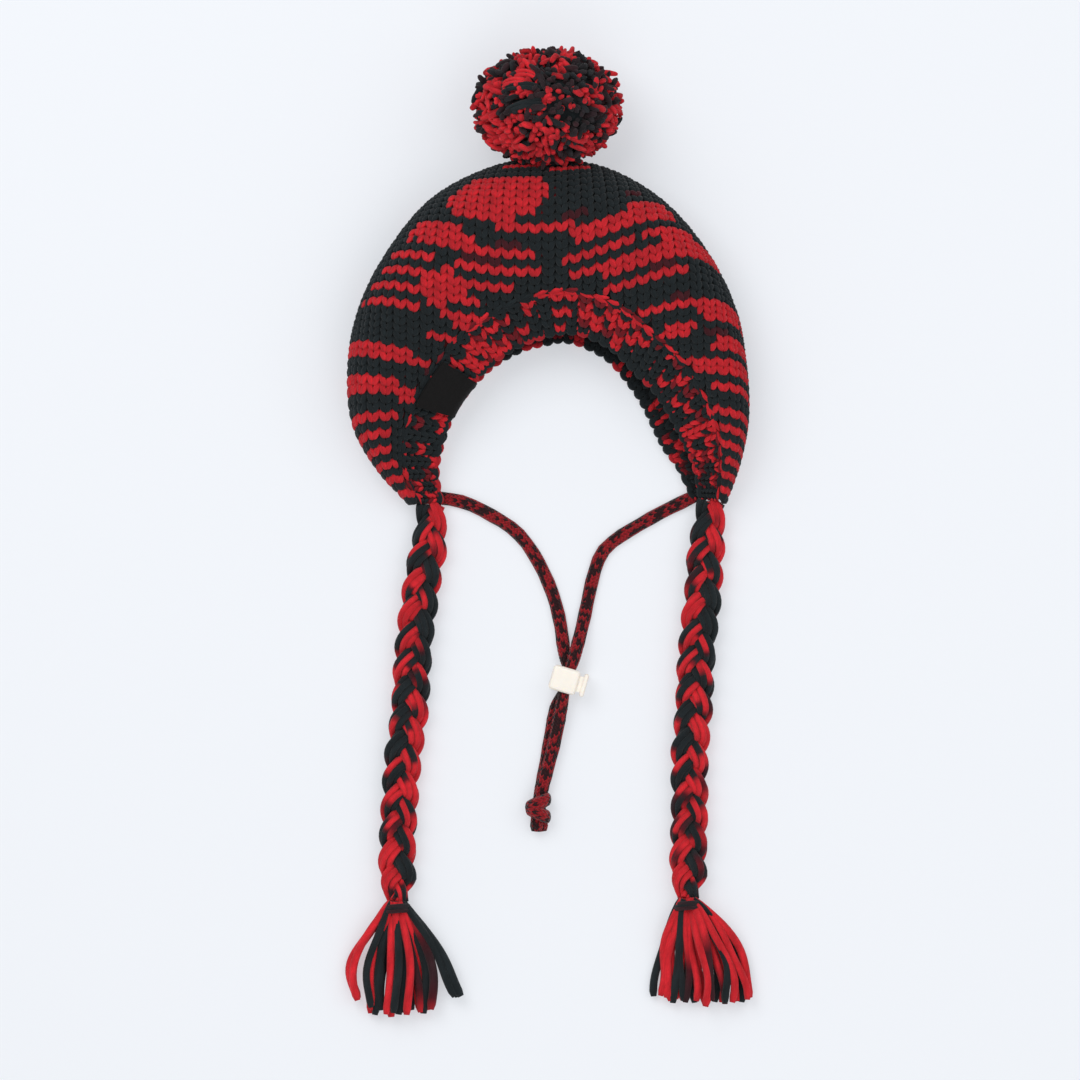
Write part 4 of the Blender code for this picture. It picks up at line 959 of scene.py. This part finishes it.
class BEANIE_OT_band(bpy.types.Operator):
    """Knits the ribbed band: a front and a back strip with ribs, purl bumps, a seam and a scalloped edge"""
    bl_idname = "beanie.band"
    bl_label = "Band"

    def execute(self, context):
        knit = context.scene.beanie_knit
        rng = np.random.default_rng(23)
        finish = yarn_finish("band_yarn", 0.55, 0.32, 0.5)
        for name, strip, proud, lower, depth, half, nodes in (
            ("front", front_strip, FRONT_PROUD, 0.0, 0.0031, 0.0017, ["rim_band"]),
            ("back", back_strip, BACK_BAND_PROUD, 0.0004, 0.0024, 0.0013, []),
        ):
            field = RibField(strip, knit.rib_width, 5, proud, lower)
            parts, strands = self.ribs(knit, rng, field)
            parts += self.seam_chain(knit, rng, field) + self.bound_edge(knit, rng, field)
            settle(yarn_piece(f"band_{name}_stitches", parts, finish), "ribbed_yarn")
            settle(self.body(f"band_{name}_body", finish, strip, depth, half, strands), "ribbed_yarn", *nodes)
        return {"FINISHED"}

    def body(self, name, finish, strip, depth, half, strands):
        """The fabric below the stitches, a closed strip in the nearest stitch's colour dimmed as painted shade. Its
        rings
        are squared circles: cos and sin of the turn, over the larger of them to the power 0.7."""
        turn = np.linspace(0, 2 * np.pi, 16, endpoint=False)
        circle = np.stack([np.cos(turn), np.sin(turn)])
        across, up = circle / np.abs(circle).max(axis=0) ** 0.7
        points, out, _ = strip(np.linspace(0, LAST_PLACE, 241)[:, None], 0.49 + 0.485 * across)
        return lofted_piece(name, points + out * (half * up - depth)[:, None], finish, None, strands)

    def ribs(self, knit, rng, field):
        """Ribs of V stitches with purl bumps between them, and the stitches' centres and colours."""
        thick = knit.yarn_thickness / 2
        grid = np.meshgrid(np.arange(field.rows), np.arange(field.ribs) + 0.5, indexing="ij")
        row, rib = (axis.ravel().astype(float) for axis in grid)
        narrow = Cuts(field.spot(row, rib)[0]).band / BAND_WIDTH
        centre = field.surface(row, rib)
        shares = band_shares(centre, rng)
        colours = dyed(knit, shares, rng, BAND_VARIES)
        other = np.where(rng.random(len(row)) < 0.6, shares, band_shares(centre, rng))
        both = np.stack([colours, dyed(knit, other, rng, BAND_VARIES)])
        yarn = (knit.rib_width * 0.21, thick, thick * 1.4)
        parts = knit_legs(field, row, rib, both, 6, 7, field.proud, yarn, np.clip(narrow, 0.55, 1))
        t = np.linspace(-1, 1, 5)
        spot = field.spot(row[:, None] + 0.10 * np.cos(t * np.pi / 2), rib[:, None] + 0.5 + 0.20 * t)
        points, out, _ = field.strip(*spot)
        middle = points + out * (field.proud - thick * 1.25 - 0.0006 * t**2)[:, None]
        swell = np.clip(narrow, 0.6, 1)[:, None] * (0.35 + 0.65 * np.cos(t * np.pi / 2.3))
        bumps = dyed(knit, band_shares(middle[:, 2], rng), rng, BAND_VARIES)
        parts.append(sweep(middle, out, 0.0011 * swell, thick * 0.8 * swell, 6, bumps[:, None]))
        return parts, (centre, colours)

    def bound_edge(self, knit, rng, field):
        """The scallops of the bound edge: two rows of short fat bumps along the rim, each a lens that swells in
        the middle. The upper row stands out past the rim, and the lower one lies half a rib further on."""
        rib = np.arange(field.ribs) + 0.5
        t = np.linspace(-1, 1, 6)
        parts = []
        for depth, thick, out_by, shift in ((0.0012, 0.0021, 0.03, 0.0), (0.0034, 0.0019, -0.02, 0.5)):
            place, _ = field.spot(0, np.clip(rib[:, None] + 0.56 * t + shift, 0, field.ribs))
            points, out, cuts = field.strip(place, 0.965 + out_by * np.cos(t * np.pi / 2))
            middle = points - out * (depth + field.lower)
            middle[..., 2] = np.maximum(middle[..., 2], thick - FLOOR_SINK)
            shares = np.where(rng.random(len(rib)) < 0.28, 0.8, 0.0)
            by_label = np.where(rng.random(len(rib)) < 0.5, 0.9, 0.0)
            shares = np.where(middle[:, 3, 0] < -0.045, by_label, shares)
            colours = dyed(knit, shares, rng, BAND_VARIES)
            size = (0.32 + 0.68 * np.cos(t * np.pi / 2) ** 0.8) * np.clip(cuts.band / BAND_WIDTH, 0.7, 1) * thick
            parts.append(sweep(middle, out, size, size, 8, colours[:, None]))
        return parts

    def seam_chain(self, knit, rng, field):
        """A line of chain links along the seam: each link is two yarns that lean away from one another, and sink
        at both ends."""
        at_row, thick, lean = field.rows - 0.45, 0.0013, 0.18
        rib = np.arange(field.ribs) + 0.5
        t = np.linspace(-1, 1, 6)
        parts = []
        for side in (-1.0, 1.0):
            along = np.clip(rib[:, None] + 0.54 * t, 0, field.ribs)
            points, out, cuts = field.strip(*field.spot(at_row + side * lean * (1 + t), along))
            middle = points + out * (field.proud - thick - 0.0007 * t**2)[:, None]
            shares = band_shares(field.surface(np.full(len(rib), at_row), rib), rng)
            colours = dyed(knit, shares, rng, BAND_VARIES)
            size = (0.30 + 0.70 * np.cos(t * np.pi / 2.2)) * np.clip(cuts.band / BAND_WIDTH, 0.6, 1) * thick
            parts.append(sweep(middle, out, size, 0.95 * size, 7, colours[:, None]))
        return parts


class BEANIE_OT_label(bpy.types.Operator):
    """Folds the plain woven label over the band"""
    bl_idname = "beanie.label"
    bl_label = "Label"

    def execute(self, context):
        across, down = 41, 61
        places = np.linspace(0, LAST_PLACE, 400)
        rim = Cuts(places)
        along = way_along(rim.point(rim.width, 0.0))
        spans = np.interp(LABEL_AT, places, along) + np.linspace(-0.5, 0.5, across) * LABEL_WIDTH
        cuts = Cuts(np.interp(spans, along, places))
        start, end, ahead, out = strip_frame(cuts)
        layers = []
        for offset in (LABEL_GAP + 0.0009, LABEL_GAP + 0.0021):
            turn, under = offset + 0.0002, BAND_WALL + offset
            knots = np.stack([
                start + ahead * 0.0006 + out * offset,
                (start + end) / 2 + out * (offset + 0.0003),
                end + out * offset * 0.8 - ahead * 0.0012,
                end + ahead * turn - out * BAND_WALL * 0.25,
                end + ahead * turn - out * BAND_WALL * 0.75,
                end - ahead * 0.0014 - out * under,
                end + (start - end) * LABEL_TUCK - out * under,
            ])
            curve = through(knots.reshape(len(knots), -1), np.linspace(0, len(knots) - 1, down))
            curve = curve.reshape(down, across, 2)
            layers.append(cuts.point(curve[..., 0], curve[..., 1]))
        rings = np.concatenate([layers[1], layers[0][:, ::-1]], axis=1)
        uv = lattice_uv(np.linspace(0, 1.85, down), np.linspace(0, 2, rings.shape[1] + 1))[:, ::-1]
        piece = lofted_piece("side_label_tape", rings, self.weave(), uv)
        settle(piece, "woven_label", "side_label")
        return {"FINISHED"}

    def weave(self):
        """Fine black satin tape: threads along and across it from two waves on its own map."""
        make = Shader("label_tape")
        x, y = make.own_map()
        weft = make.sine(y, 34)
        cross = make.times(make.sine(x, 42), weft)
        tone = make.plus(make.times(cross, 0.12), make.noise(make.objects(), 500.0))
        colour = make.mix(tone, (0.002, 0.002, 0.002, 1.0), (0.006, 0.005, 0.005, 1.0))
        make.bump(make.plus(cross, make.times(weft, 0.5)), 0.35, 0.0002)
        return make.finish(colour, 0.8, 0.02)


class BEANIE_OT_pompom(bpy.types.Operator):
    """Ties the pompom: cut yarn ends that stand out of a ball in every direction"""
    bl_idname = "beanie.pompom"
    bl_label = "Pompom"

    def execute(self, context):
        pom, knit = context.scene.beanie_pompom, context.scene.beanie_knit
        rng = np.random.default_rng(5)
        low, high = (np.array(corner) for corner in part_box("pompom"))
        ball = (low + high) / 2 - np.array((0.0010, 0.0030, 0)), (high - low) / 2 * 0.97
        finish = yarn_finish("pompom_yarn", 0.7, 0.28, 0.6)
        parts = [self.cut_ends(*ball, pom, knit, rng)]
        parts += self.crossing_yarns(*ball, knit, rng, pom.yarn_radius * 0.9)
        parts.append(self.core(*ball, knit))
        settle(yarn_piece("pompom_ends", parts, finish), "pompom_yarn", "pompom")
        return {"FINISHED"}

    def cut_ends(self, centre, radii, pom, knit, rng):
        """Yarn ends that stand out of the ball, spread over it by the golden angle. Each is a line from inside
        the ball to its own tip with a sway: root * (1 - t) + tip * t + sway * sin(pi t)."""
        count = pom.yarns
        number = np.arange(count) + 0.5
        z = 1 - 2 * number / count
        turn = np.pi * (3 - math.sqrt(5)) * number
        flat = np.sqrt(1 - z * z)
        heading = np.stack([flat * np.cos(turn), flat * np.sin(turn), z], axis=1)
        heading = unit(heading + rng.normal(0, 0.04, heading.shape))
        t, swell, light = np.array(END_SHAPE).T[..., None]
        stray = rng.random(count) < 0.05
        reach = 1 + rng.normal(0, 0.035, count) + np.where(stray, 0.08, 0)
        tip = centre + heading * radii * reach[:, None]
        root = centre + unit(heading + rng.normal(0, 0.30, heading.shape)) * radii * 0.50
        sway = rng.normal(0, 0.0030, (count, 3))
        paths = root[:, None] * (1 - t) + tip[:, None] * t + sway[:, None] * np.sin(np.pi * t)
        paths[..., 2] = np.maximum(paths[..., 2], 0.0016)
        normals = unit(np.cross(heading, rng.normal(0, 1, (count, 3))))[:, None]
        radius = pom.yarn_radius * rng.uniform(0.8, 1.25, (count, 1)) * swell[:, 0]
        across, up = (tip - centre)[:, :2].T * 1000
        density = 0.55 + 0.15 * wave_field(tip[:, 0] * 90, tip[:, 1] * 90 + tip[:, 2] * 60, 1.9, 1.3, 2.6)
        for right, height, size, red in POMPOM_PATCHES:
            density[(np.hypot(across - right, up - height) < size) & (heading[:, 2] > 0)] = red
        share = np.where(rng.random(count) < density, rng.uniform(0.85, 1.0, count), rng.uniform(0.0, 0.2, count))
        colours = dyed(knit, share, rng, POMPOM_VARIES)
        # The ends are dimmed as painted shade towards the inside of the ball and brightest near their tips as a
        # painted highlight
        return sweep(paths, normals, radius, radius, 7, colours[:, None] * light)

    def crossing_yarns(self, centre, radii, knit, rng, radius):
        """A few doubled yarns that lie across the ball instead of standing out: arcs just over its surface."""
        start, end, height, tilt, red = (column[:, None] for column in np.array(CROSSING_YARNS).T)
        t = np.linspace(-1, 1, 14)
        parts = []
        for shift in (-0.032, 0.032):
            x = (start + end) / 2 + (end - start) / 2 * t
            y = height + tilt * t - 0.05 * t**2 + shift
            z = np.sqrt(np.clip(1.0 - x * x - y * y, 0.05, 1))
            over = np.stack([x, y, z], axis=2)
            paths = centre + over * radii * (1.01 - 0.10 * t[:, None] ** 4)
            size = radius * rng.uniform(0.9, 1.15, red.shape) * np.interp(t, (-1, -0.9, 0.9, 1), (0.5, 1, 1, 0.5))
            parts.append(sweep(paths, unit(over), size, size, 7, mix_colours(knit, red)))
        return parts

    def core(self, centre, radii, knit):
        """The dark heart of the ball, painted shade between the yarn ends: circles of latitude of an ellipsoid as one
        short fat sweep.
        """
        t = np.linspace(0.02, np.pi - 0.02, 16)
        x, y, z = radii * 0.88
        path = centre + np.stack([0 * t, 0 * t, -np.cos(t) * z], axis=1)
        side = np.array((0.0, 1.0, 0.0))
        # Charcoal dimmed to 0.8 as painted shade inside the ball
        return sweep(path, side, np.sin(t) * x, np.sin(t) * y, 24, np.array(knit.charcoal) * 0.8)


def tie_line(top, steps, count):
    """The middle line of a plaited tie, count points from its flap tip to its neck."""
    down, sideways = through(steps, np.linspace(0, len(steps) - 1, 200)).T
    x = top[0] * CROWN_WIDTH / 2 + sideways * BRAID_LENGTH
    y = top[1] * CROWN_HEIGHT - TIP_DROP - BRAID_GAP - down * BRAID_LENGTH
    return evenly_along(np.stack([x, y], axis=1), count)


def plait_squeeze(share):
    """How full the plait is along its length: drawn in at the flap tip and tight at the neck."""
    top = 0.80 + 0.20 * np.clip((share - 0.02) / 0.10, 0, 1)
    neck = 0.60 + 0.40 * np.clip((0.99 - share) / 0.05, 0, 1)
    return np.minimum(top, neck)


class BEANIE_OT_ties(bpy.types.Operator):
    """Plaits the two ties of three strands each, with a bound neck and a tassel below"""
    bl_idname = "beanie.ties"
    bl_label = "Ties and tassels"

    def execute(self, context):
        knit, ties = context.scene.beanie_knit, context.scene.beanie_ties
        finish = yarn_finish("tie_yarn", 0.45, 0.22, 0.7)
        for side, top, steps, seed in (("left", LEFT_TIE_TOP, LEFT_TIE, 31), ("right", RIGHT_TIE_TOP, RIGHT_TIE, 47)):
            rng = np.random.default_rng(seed)
            line = tie_line(top, steps, 150)
            braid = self.braid(side, line, knit, ties, rng, finish)
            tassel = self.tassel(side, line[-1], knit, ties, rng, finish)
            tie = self.binding(side, line[-1], knit, finish)
        return {"FINISHED"}

    def braid(self, side, line, knit, ties, rng, finish):
        """Three strands over and under each other: sideways swing times sin(turn), height times sin(2 turn),
        with each strand's yarns lying side by side round its own middle."""
        ahead = unit(np.gradient(line, axis=0))
        aside = np.stack([-ahead[:, 1], ahead[:, 0]], axis=1)
        share = np.linspace(0, 1, len(line))
        full = plait_squeeze(share)
        turning = share * BRAID_LENGTH / PLAIT_PITCH
        parts = []
        for number in range(3):
            phase = 2 * np.pi * (turning + number / 3)
            flat = line + aside * (STRAND_SWING * 0.80 * full * np.sin(phase))[:, None]
            strand = np.column_stack([flat, BRAID_MIDDLE + 0.72 * STRAND_LIFT * full * np.sin(2 * phase)])
            forward = unit(np.gradient(strand, axis=0))
            left = unit(np.cross(UP, forward))
            over = np.cross(forward, left)
            for ply in range(ties.plies):
                twist = 2 * np.pi * (ply / ties.plies + 0.5 * turning) + number
                wobble = 1 + 0.12 * np.sin(share * 40 + ply * 2 + number)
                path = (strand + left * (0.0027 * full * wobble * np.cos(twist))[:, None]
                        + over * (0.0013 * full * np.sin(twist))[:, None])
                radius = ties.yarn_radius * full * (1 + 0.06 * np.sin(share * 60 + ply))
                path[:, 2] = np.maximum(path[:, 2], radius * 0.9)
                dye = np.sin(share * 21 + number * 2.1 + rng.uniform(-1.1, 1.1))
                dye += 0.7 * np.sin(share * 47 + ply * 2.4 + number)
                colour = mix_colours(knit, 0.60 + 2.2 * dye) * (1 + 0.08 * rng.uniform(-1, 1))
                parts.append(sweep(path, over, radius, radius, 8, colour))
        piece = yarn_piece(f"braid_{side}", parts, finish)
        return settle(piece, "plaited_yarn", *(f"braid_{side}_strand_{n}" for n in (1, 2, 3)))

    def tassel(self, side, end, knit, ties, rng, finish):
        """Yarn ends fanned out over the surface: each is a curve from the neck to its own end, with a bend and
        a wave of its own, in three layers. On the left tassel one yarn is swept out and one curls."""
        length, left, right, swept_past, curled_past, red_from = TASSELS[side]
        count = ties.tassel_yarns
        spread = np.linspace(-1, 1, count)[rng.permutation(count)][:, None]
        layer = rng.integers(0, 3, count)[:, None]
        swept, curled = spread > swept_past, spread < curled_past
        reach = length * (1.0 - 0.07 * spread**2 + rng.normal(0, 0.018, (count, 1)) - 0.10 * swept - 0.06 * curled)
        lean = np.interp(spread, (-1, 0, 1), (left, (left + right) / 2, right)) + 0.0105 * swept - 0.0045 * curled
        t = np.linspace(0, 1, 20)
        bell = np.where(swept, t**0.9, np.sin(t * np.pi / 2) ** 0.85)
        wave = np.sin(t * rng.uniform(4, 8, (count, 1)) + rng.uniform(0, 6.3, (count, 1)))
        x = end[0] + TASSEL_NECK * 0.7 * spread * (1 - t) + lean * bell
        x = x + np.where(curled, 0.0034, 0.0019) * wave * t**0.7
        y = end[1] - reach * t - 0.0002
        top = TASSEL_NECK * rng.uniform(-0.7, 0.7, (count, 1))
        rest = 0.0021 + 0.0042 * layer * (1 - 0.5 * np.abs(spread))
        up = (1 - np.clip(t / 0.60, 0, 1)) ** 1.3
        z = (TIE_MIDDLE + top) * up + rest * (1 - up) + 0.0022 * np.sin(np.clip(t / 0.5, 0, 1) * np.pi)
        radius = 0.0021 * np.interp(t, (0, 0.10, 0.25, 0.97, 1.0), (0.65, 0.75, 0.95, 1.0, 0.7))
        radius = radius * rng.uniform(0.9, 1.12, (count, 1))
        paths = np.stack([x, y, np.maximum(z, radius)], axis=2)
        red = np.where(curled, True, np.sin(spread * 11 + layer * 2.1 + 2.0) > red_from) & ~swept
        dye = red + 0.8 * np.sin(t * 3.2 + rng.uniform(0, 6.3, (count, 1))) * (rng.random((count, 1)) < 0.25)
        colours = mix_colours(knit, dye) * (1 + 0.1 * rng.uniform(-1, 1, (count, 1, 1)))
        piece = yarn_piece(f"tassel_{side}_yarns", [sweep(paths, UP, radius, radius, 9, colours)], finish)
        return settle(piece, "dark_yarn", f"tassel_{side}")

    def binding(self, side, end, knit, finish):
        """The yarn wound round a tassel's neck: a screw line whose radius and lead waver a little."""
        turns = 2 * np.pi * np.linspace(0, 2.4, 110)
        ring = TASSEL_NECK + TIE_GAP + 0.0008 + 0.0003 * np.sin(turns * 0.7)
        lift = np.linspace(-1, 1, 110) * 0.0015 + 0.0008 * np.sin(turns + 1) - 3 * TIE_RADIUS
        out = np.stack([np.cos(turns), 0 * turns, np.sin(turns)], axis=1)
        path = np.array((end[0], end[1], TIE_MIDDLE)) + out * ring[:, None]
        path[:, 1] += lift
        shade = mix_colours(knit, 0.10 + 0.15 * np.sin(turns * 0.45))
        wound = sweep(path, out, TIE_RADIUS * 0.8, TIE_RADIUS * 0.8, 8, shade)
        return settle(yarn_piece(f"tassel_{side}_binding", [wound], finish), "dark_yarn", f"tassel_tie_{side}")


class BEANIE_OT_chin_cord(bpy.types.Operator):
    """Lays the flat knitted chin cord through its lock, with its knot"""
    bl_idname = "beanie.chin_cord"
    bl_label = "Chin cord"

    def execute(self, context):
        settings = context.scene.beanie_cord
        finish = self.knit_tape(settings)
        lock = [bpy.data.objects[name] for name in ("cord_lock_barrel", "cord_lock_button")]
        ivory = self.plastic(settings)
        for node in lock:
            for slot in node.material_slots:
                slot.material = ivory
        knot = self.knot(finish)
        for side, route, extra in (("left", LEFT_LEG, [*lock, knot]), ("right", RIGHT_LEG, [])):
            rows = evenly_along(through(route, np.linspace(0, len(route) - 1, 300)), 110)
            path = rows[:, :3]
            leg = self.flat_cord(f"chin_cord_{side}_knit", path, rows[:, 3], finish)
            settle(leg, "flat_cord", f"chin_cord_{side}")
        return {"FINISHED"}

    def flat_cord(self, name, path, pinch, finish):
        """A flat knitted tube: rings of an ellipse along the path, puckered a little at each of 70 stitches."""
        pucker = 1 + 0.035 * np.sin(np.linspace(0, 1, len(path)) * 2 * np.pi * 70)
        cord = sweep(path, UP, CORD_WIDTH / 2 * pinch * pucker, CORD_THICKNESS / 2, 16, 0.5)
        return yarn_piece(name, [cord], finish)

    def knot(self, finish):
        """The overhand knot: two slanted wraps round the doubled cord and the cut ends below them."""
        turn = np.linspace(0, 2 * np.pi, 48)
        parts = []
        for shift, tilt, size in KNOT_WRAPS:
            x, z = 0.0042 * size * np.cos(turn), 0.0034 * size * np.sin(turn)
            path = np.stack([KNOT_X + x, KNOT_Y + shift + x * tilt, 0.0056 + z], axis=1)
            out = np.stack([np.cos(turn), 0 * turn, np.sin(turn)], axis=1)
            parts.append(sweep(path, out, 0.0034, 0.0019, 12, 0.5))
        t = np.linspace(0, 1, 14)
        size = np.interp(t, (0, 0.85, 1), (1, 1.1, 0.8))
        for lean, width, lift in KNOT_ENDS:
            x, y = KNOT_X + 0.0002 + lean * t, KNOT_Y + 0.0050 - 0.0155 * t
            path = np.stack([x, y, lift + 0.0006 * np.sin(3 * t)], axis=1)
            parts.append(sweep(path, UP, width * size, 0.0015 * size, 12, 0.5))
        return settle(yarn_piece("cord_knot_wraps", parts, finish), "flat_cord", "cord_knot")

    def knit_tape(self, settings):
        """Fine knitted cord: ten columns of little V stitches along it from slanted waves, and red yarn that
        comes and goes in short dashes between dark ones. The colour is darker where the relief is low, as painted
        shade between the stitches."""
        make = Shader("chin_cord_knit")
        along, round_it = make.own_map()
        columns = make.times(round_it, 10.0)
        fold = make.maths("ABSOLUTE", make.maths("SUBTRACT", make.maths("FRACT", columns), 0.5))
        slant = make.plus(make.times(along, 5.2), make.times(fold, 1.3))
        height = make.plus(make.times(make.sine(slant), 0.6), make.times(make.sine(round_it, 10), 0.35))
        dash = make.node("ShaderNodeTexWhiteNoise")
        dash.noise_dimensions = "2D"
        make.put(dash, "Vector", make.at(make.maths("FLOOR", slant), make.maths("FLOOR", columns)))
        cloud = make.noise(make.objects(), 120.0, 2.0)
        red = make.plus(make.times(dash.outputs["Value"], 0.75), make.times(cloud, 0.6))
        colour = make.mix(make.maths("GREATER_THAN", red, 0.66), (*settings.dark, 1.0), (*settings.bright, 1.0))
        make.bump(height, 0.8, 0.0006)
        # The colour is dimmed where the stitches' relief is low, as painted shade
        return make.finish(make.shaded(colour, make.plus(make.times(height, 0.35), 0.75)), 0.85, 0.2)

    def plastic(self, settings):
        """Ivory moulded plastic: faint mottling in the colour, a soft satin surface and fine handling marks."""
        make = Shader("lock_plastic")
        place = make.objects()
        tint = np.array(settings.ivory)
        colour = make.mix(make.noise(place, 180.0, 3.0), (*(tint * 0.90), 1.0), (*tint, 1.0))
        make.bump(make.noise(place, 900.0, 4.0), 0.12, 0.0002)
        make.main.inputs["Subsurface Weight"].default_value = 0.15
        make.main.inputs["Subsurface Radius"].default_value = (0.004, 0.003, 0.002)
        return make.finish(colour, 0.38, 0.0, 0.15, 0.5)


class BEANIE_OT_stage(bpy.types.Operator):
    """Sets the camera straight above, the pale floor and soft light from all round"""
    bl_idname = "beanie.stage"
    bl_label = "Stage"

    def execute(self, context):
        scene = context.scene
        stage = scene.beanie_stage
        eye = bpy.data.cameras.new("camera")
        eye.lens = stage.lens
        eye.sensor_width = SENSOR_WIDTH
        scene.camera = in_scene("camera", eye)
        scene.camera.location = (*FRAME_MIDDLE, FRAME_WIDTH * stage.lens / SENSOR_WIDTH)
        self.floor(np.array(stage.floor))
        for name, place, size, power in LAMPS:
            light = bpy.data.lights.new(name, "AREA")
            light.size = size
            light.energy = power
            lamp = in_scene(name, light)
            lamp.location = place
            lamp.rotation_euler = (Vector(LAMPS_AIM) - Vector(place)).to_track_quat("-Z", "Y").to_euler()
        world = bpy.data.worlds.new("soft_room")
        world.use_nodes = True
        world.node_tree.nodes["Background"].inputs["Color"].default_value = ROOM_COLOUR
        world.node_tree.nodes["Background"].inputs["Strength"].default_value = ROOM_LIGHT
        scene.world = world
        scene.view_settings.view_transform = "Standard"
        return {"FINISHED"}

    def floor(self, tint):
        """A flat pale floor just under the hat, with a glow of its own as faint as a bright room's."""
        make = Shader("floor")
        dark, light = ((*(tint * share), 1.0) for share in FLOOR_SHARES)
        colour = make.mix(make.noise(make.objects(), 6.0), dark, light)
        make.main.inputs["Emission Color"].default_value = (*tint, 1.0)
        make.main.inputs["Emission Strength"].default_value = FLOOR_GLOW
        matt = make.finish(colour, 0.95, shine=0.0)
        sides = ((-1, -1), (1, -1), (1, 1), (-1, 1))
        corners = np.array([(x * FLOOR_HALF, y * FLOOR_HALF, FLOOR_LEVEL) for x, y in sides])
        return new_piece("floor", corners, [np.array([[0, 1, 2, 3]])], matt, smooth=False)


class BEANIE_PT_panel(bpy.types.Panel):
    """Lists the beanie's pieces and their settings"""
    bl_idname = "BEANIE_PT_panel"
    bl_label = "Beanie"
    bl_space_type = "VIEW_3D"
    bl_region_type = "UI"
    bl_category = "Beanie"

    def draw(self, context):
        for operator in OPERATORS:
            self.layout.operator(operator.bl_idname)
        for name in SETTINGS:
            box = self.layout.box()
            group = getattr(context.scene, name)
            for key in group.__annotations__:
                box.prop(group, key)


OPERATORS = (
    BEANIE_OT_stage, BEANIE_OT_crown, BEANIE_OT_band, BEANIE_OT_label, BEANIE_OT_pompom, BEANIE_OT_chin_cord,
    BEANIE_OT_ties,
)
SETTINGS = {
    "beanie_knit": KnitSettings, "beanie_pompom": PompomSettings, "beanie_ties": TieSettings,
    "beanie_cord": CordSettings, "beanie_stage": StageSettings,
}


def register():
    for group in SETTINGS.values():
        bpy.utils.register_class(group)
    for operator in OPERATORS:
        bpy.utils.register_class(operator)
    bpy.utils.register_class(BEANIE_PT_panel)
    for name, group in SETTINGS.items():
        setattr(bpy.types.Scene, name, bpy.props.PointerProperty(type=group))


def unregister():
    for name in SETTINGS:
        delattr(bpy.types.Scene, name)
    bpy.utils.unregister_class(BEANIE_PT_panel)
    for operator in reversed(OPERATORS):
        bpy.utils.unregister_class(operator)
    for group in reversed(list(SETTINGS.values())):
        bpy.utils.unregister_class(group)


def main():
    register()
    bpy.ops.beanie.stage()
    bpy.ops.beanie.crown()
    bpy.ops.beanie.band()
    bpy.ops.beanie.label()
    bpy.ops.beanie.pompom()
    bpy.ops.beanie.chin_cord()
    bpy.ops.beanie.ties()


if __name__ == "__main__":
    main()
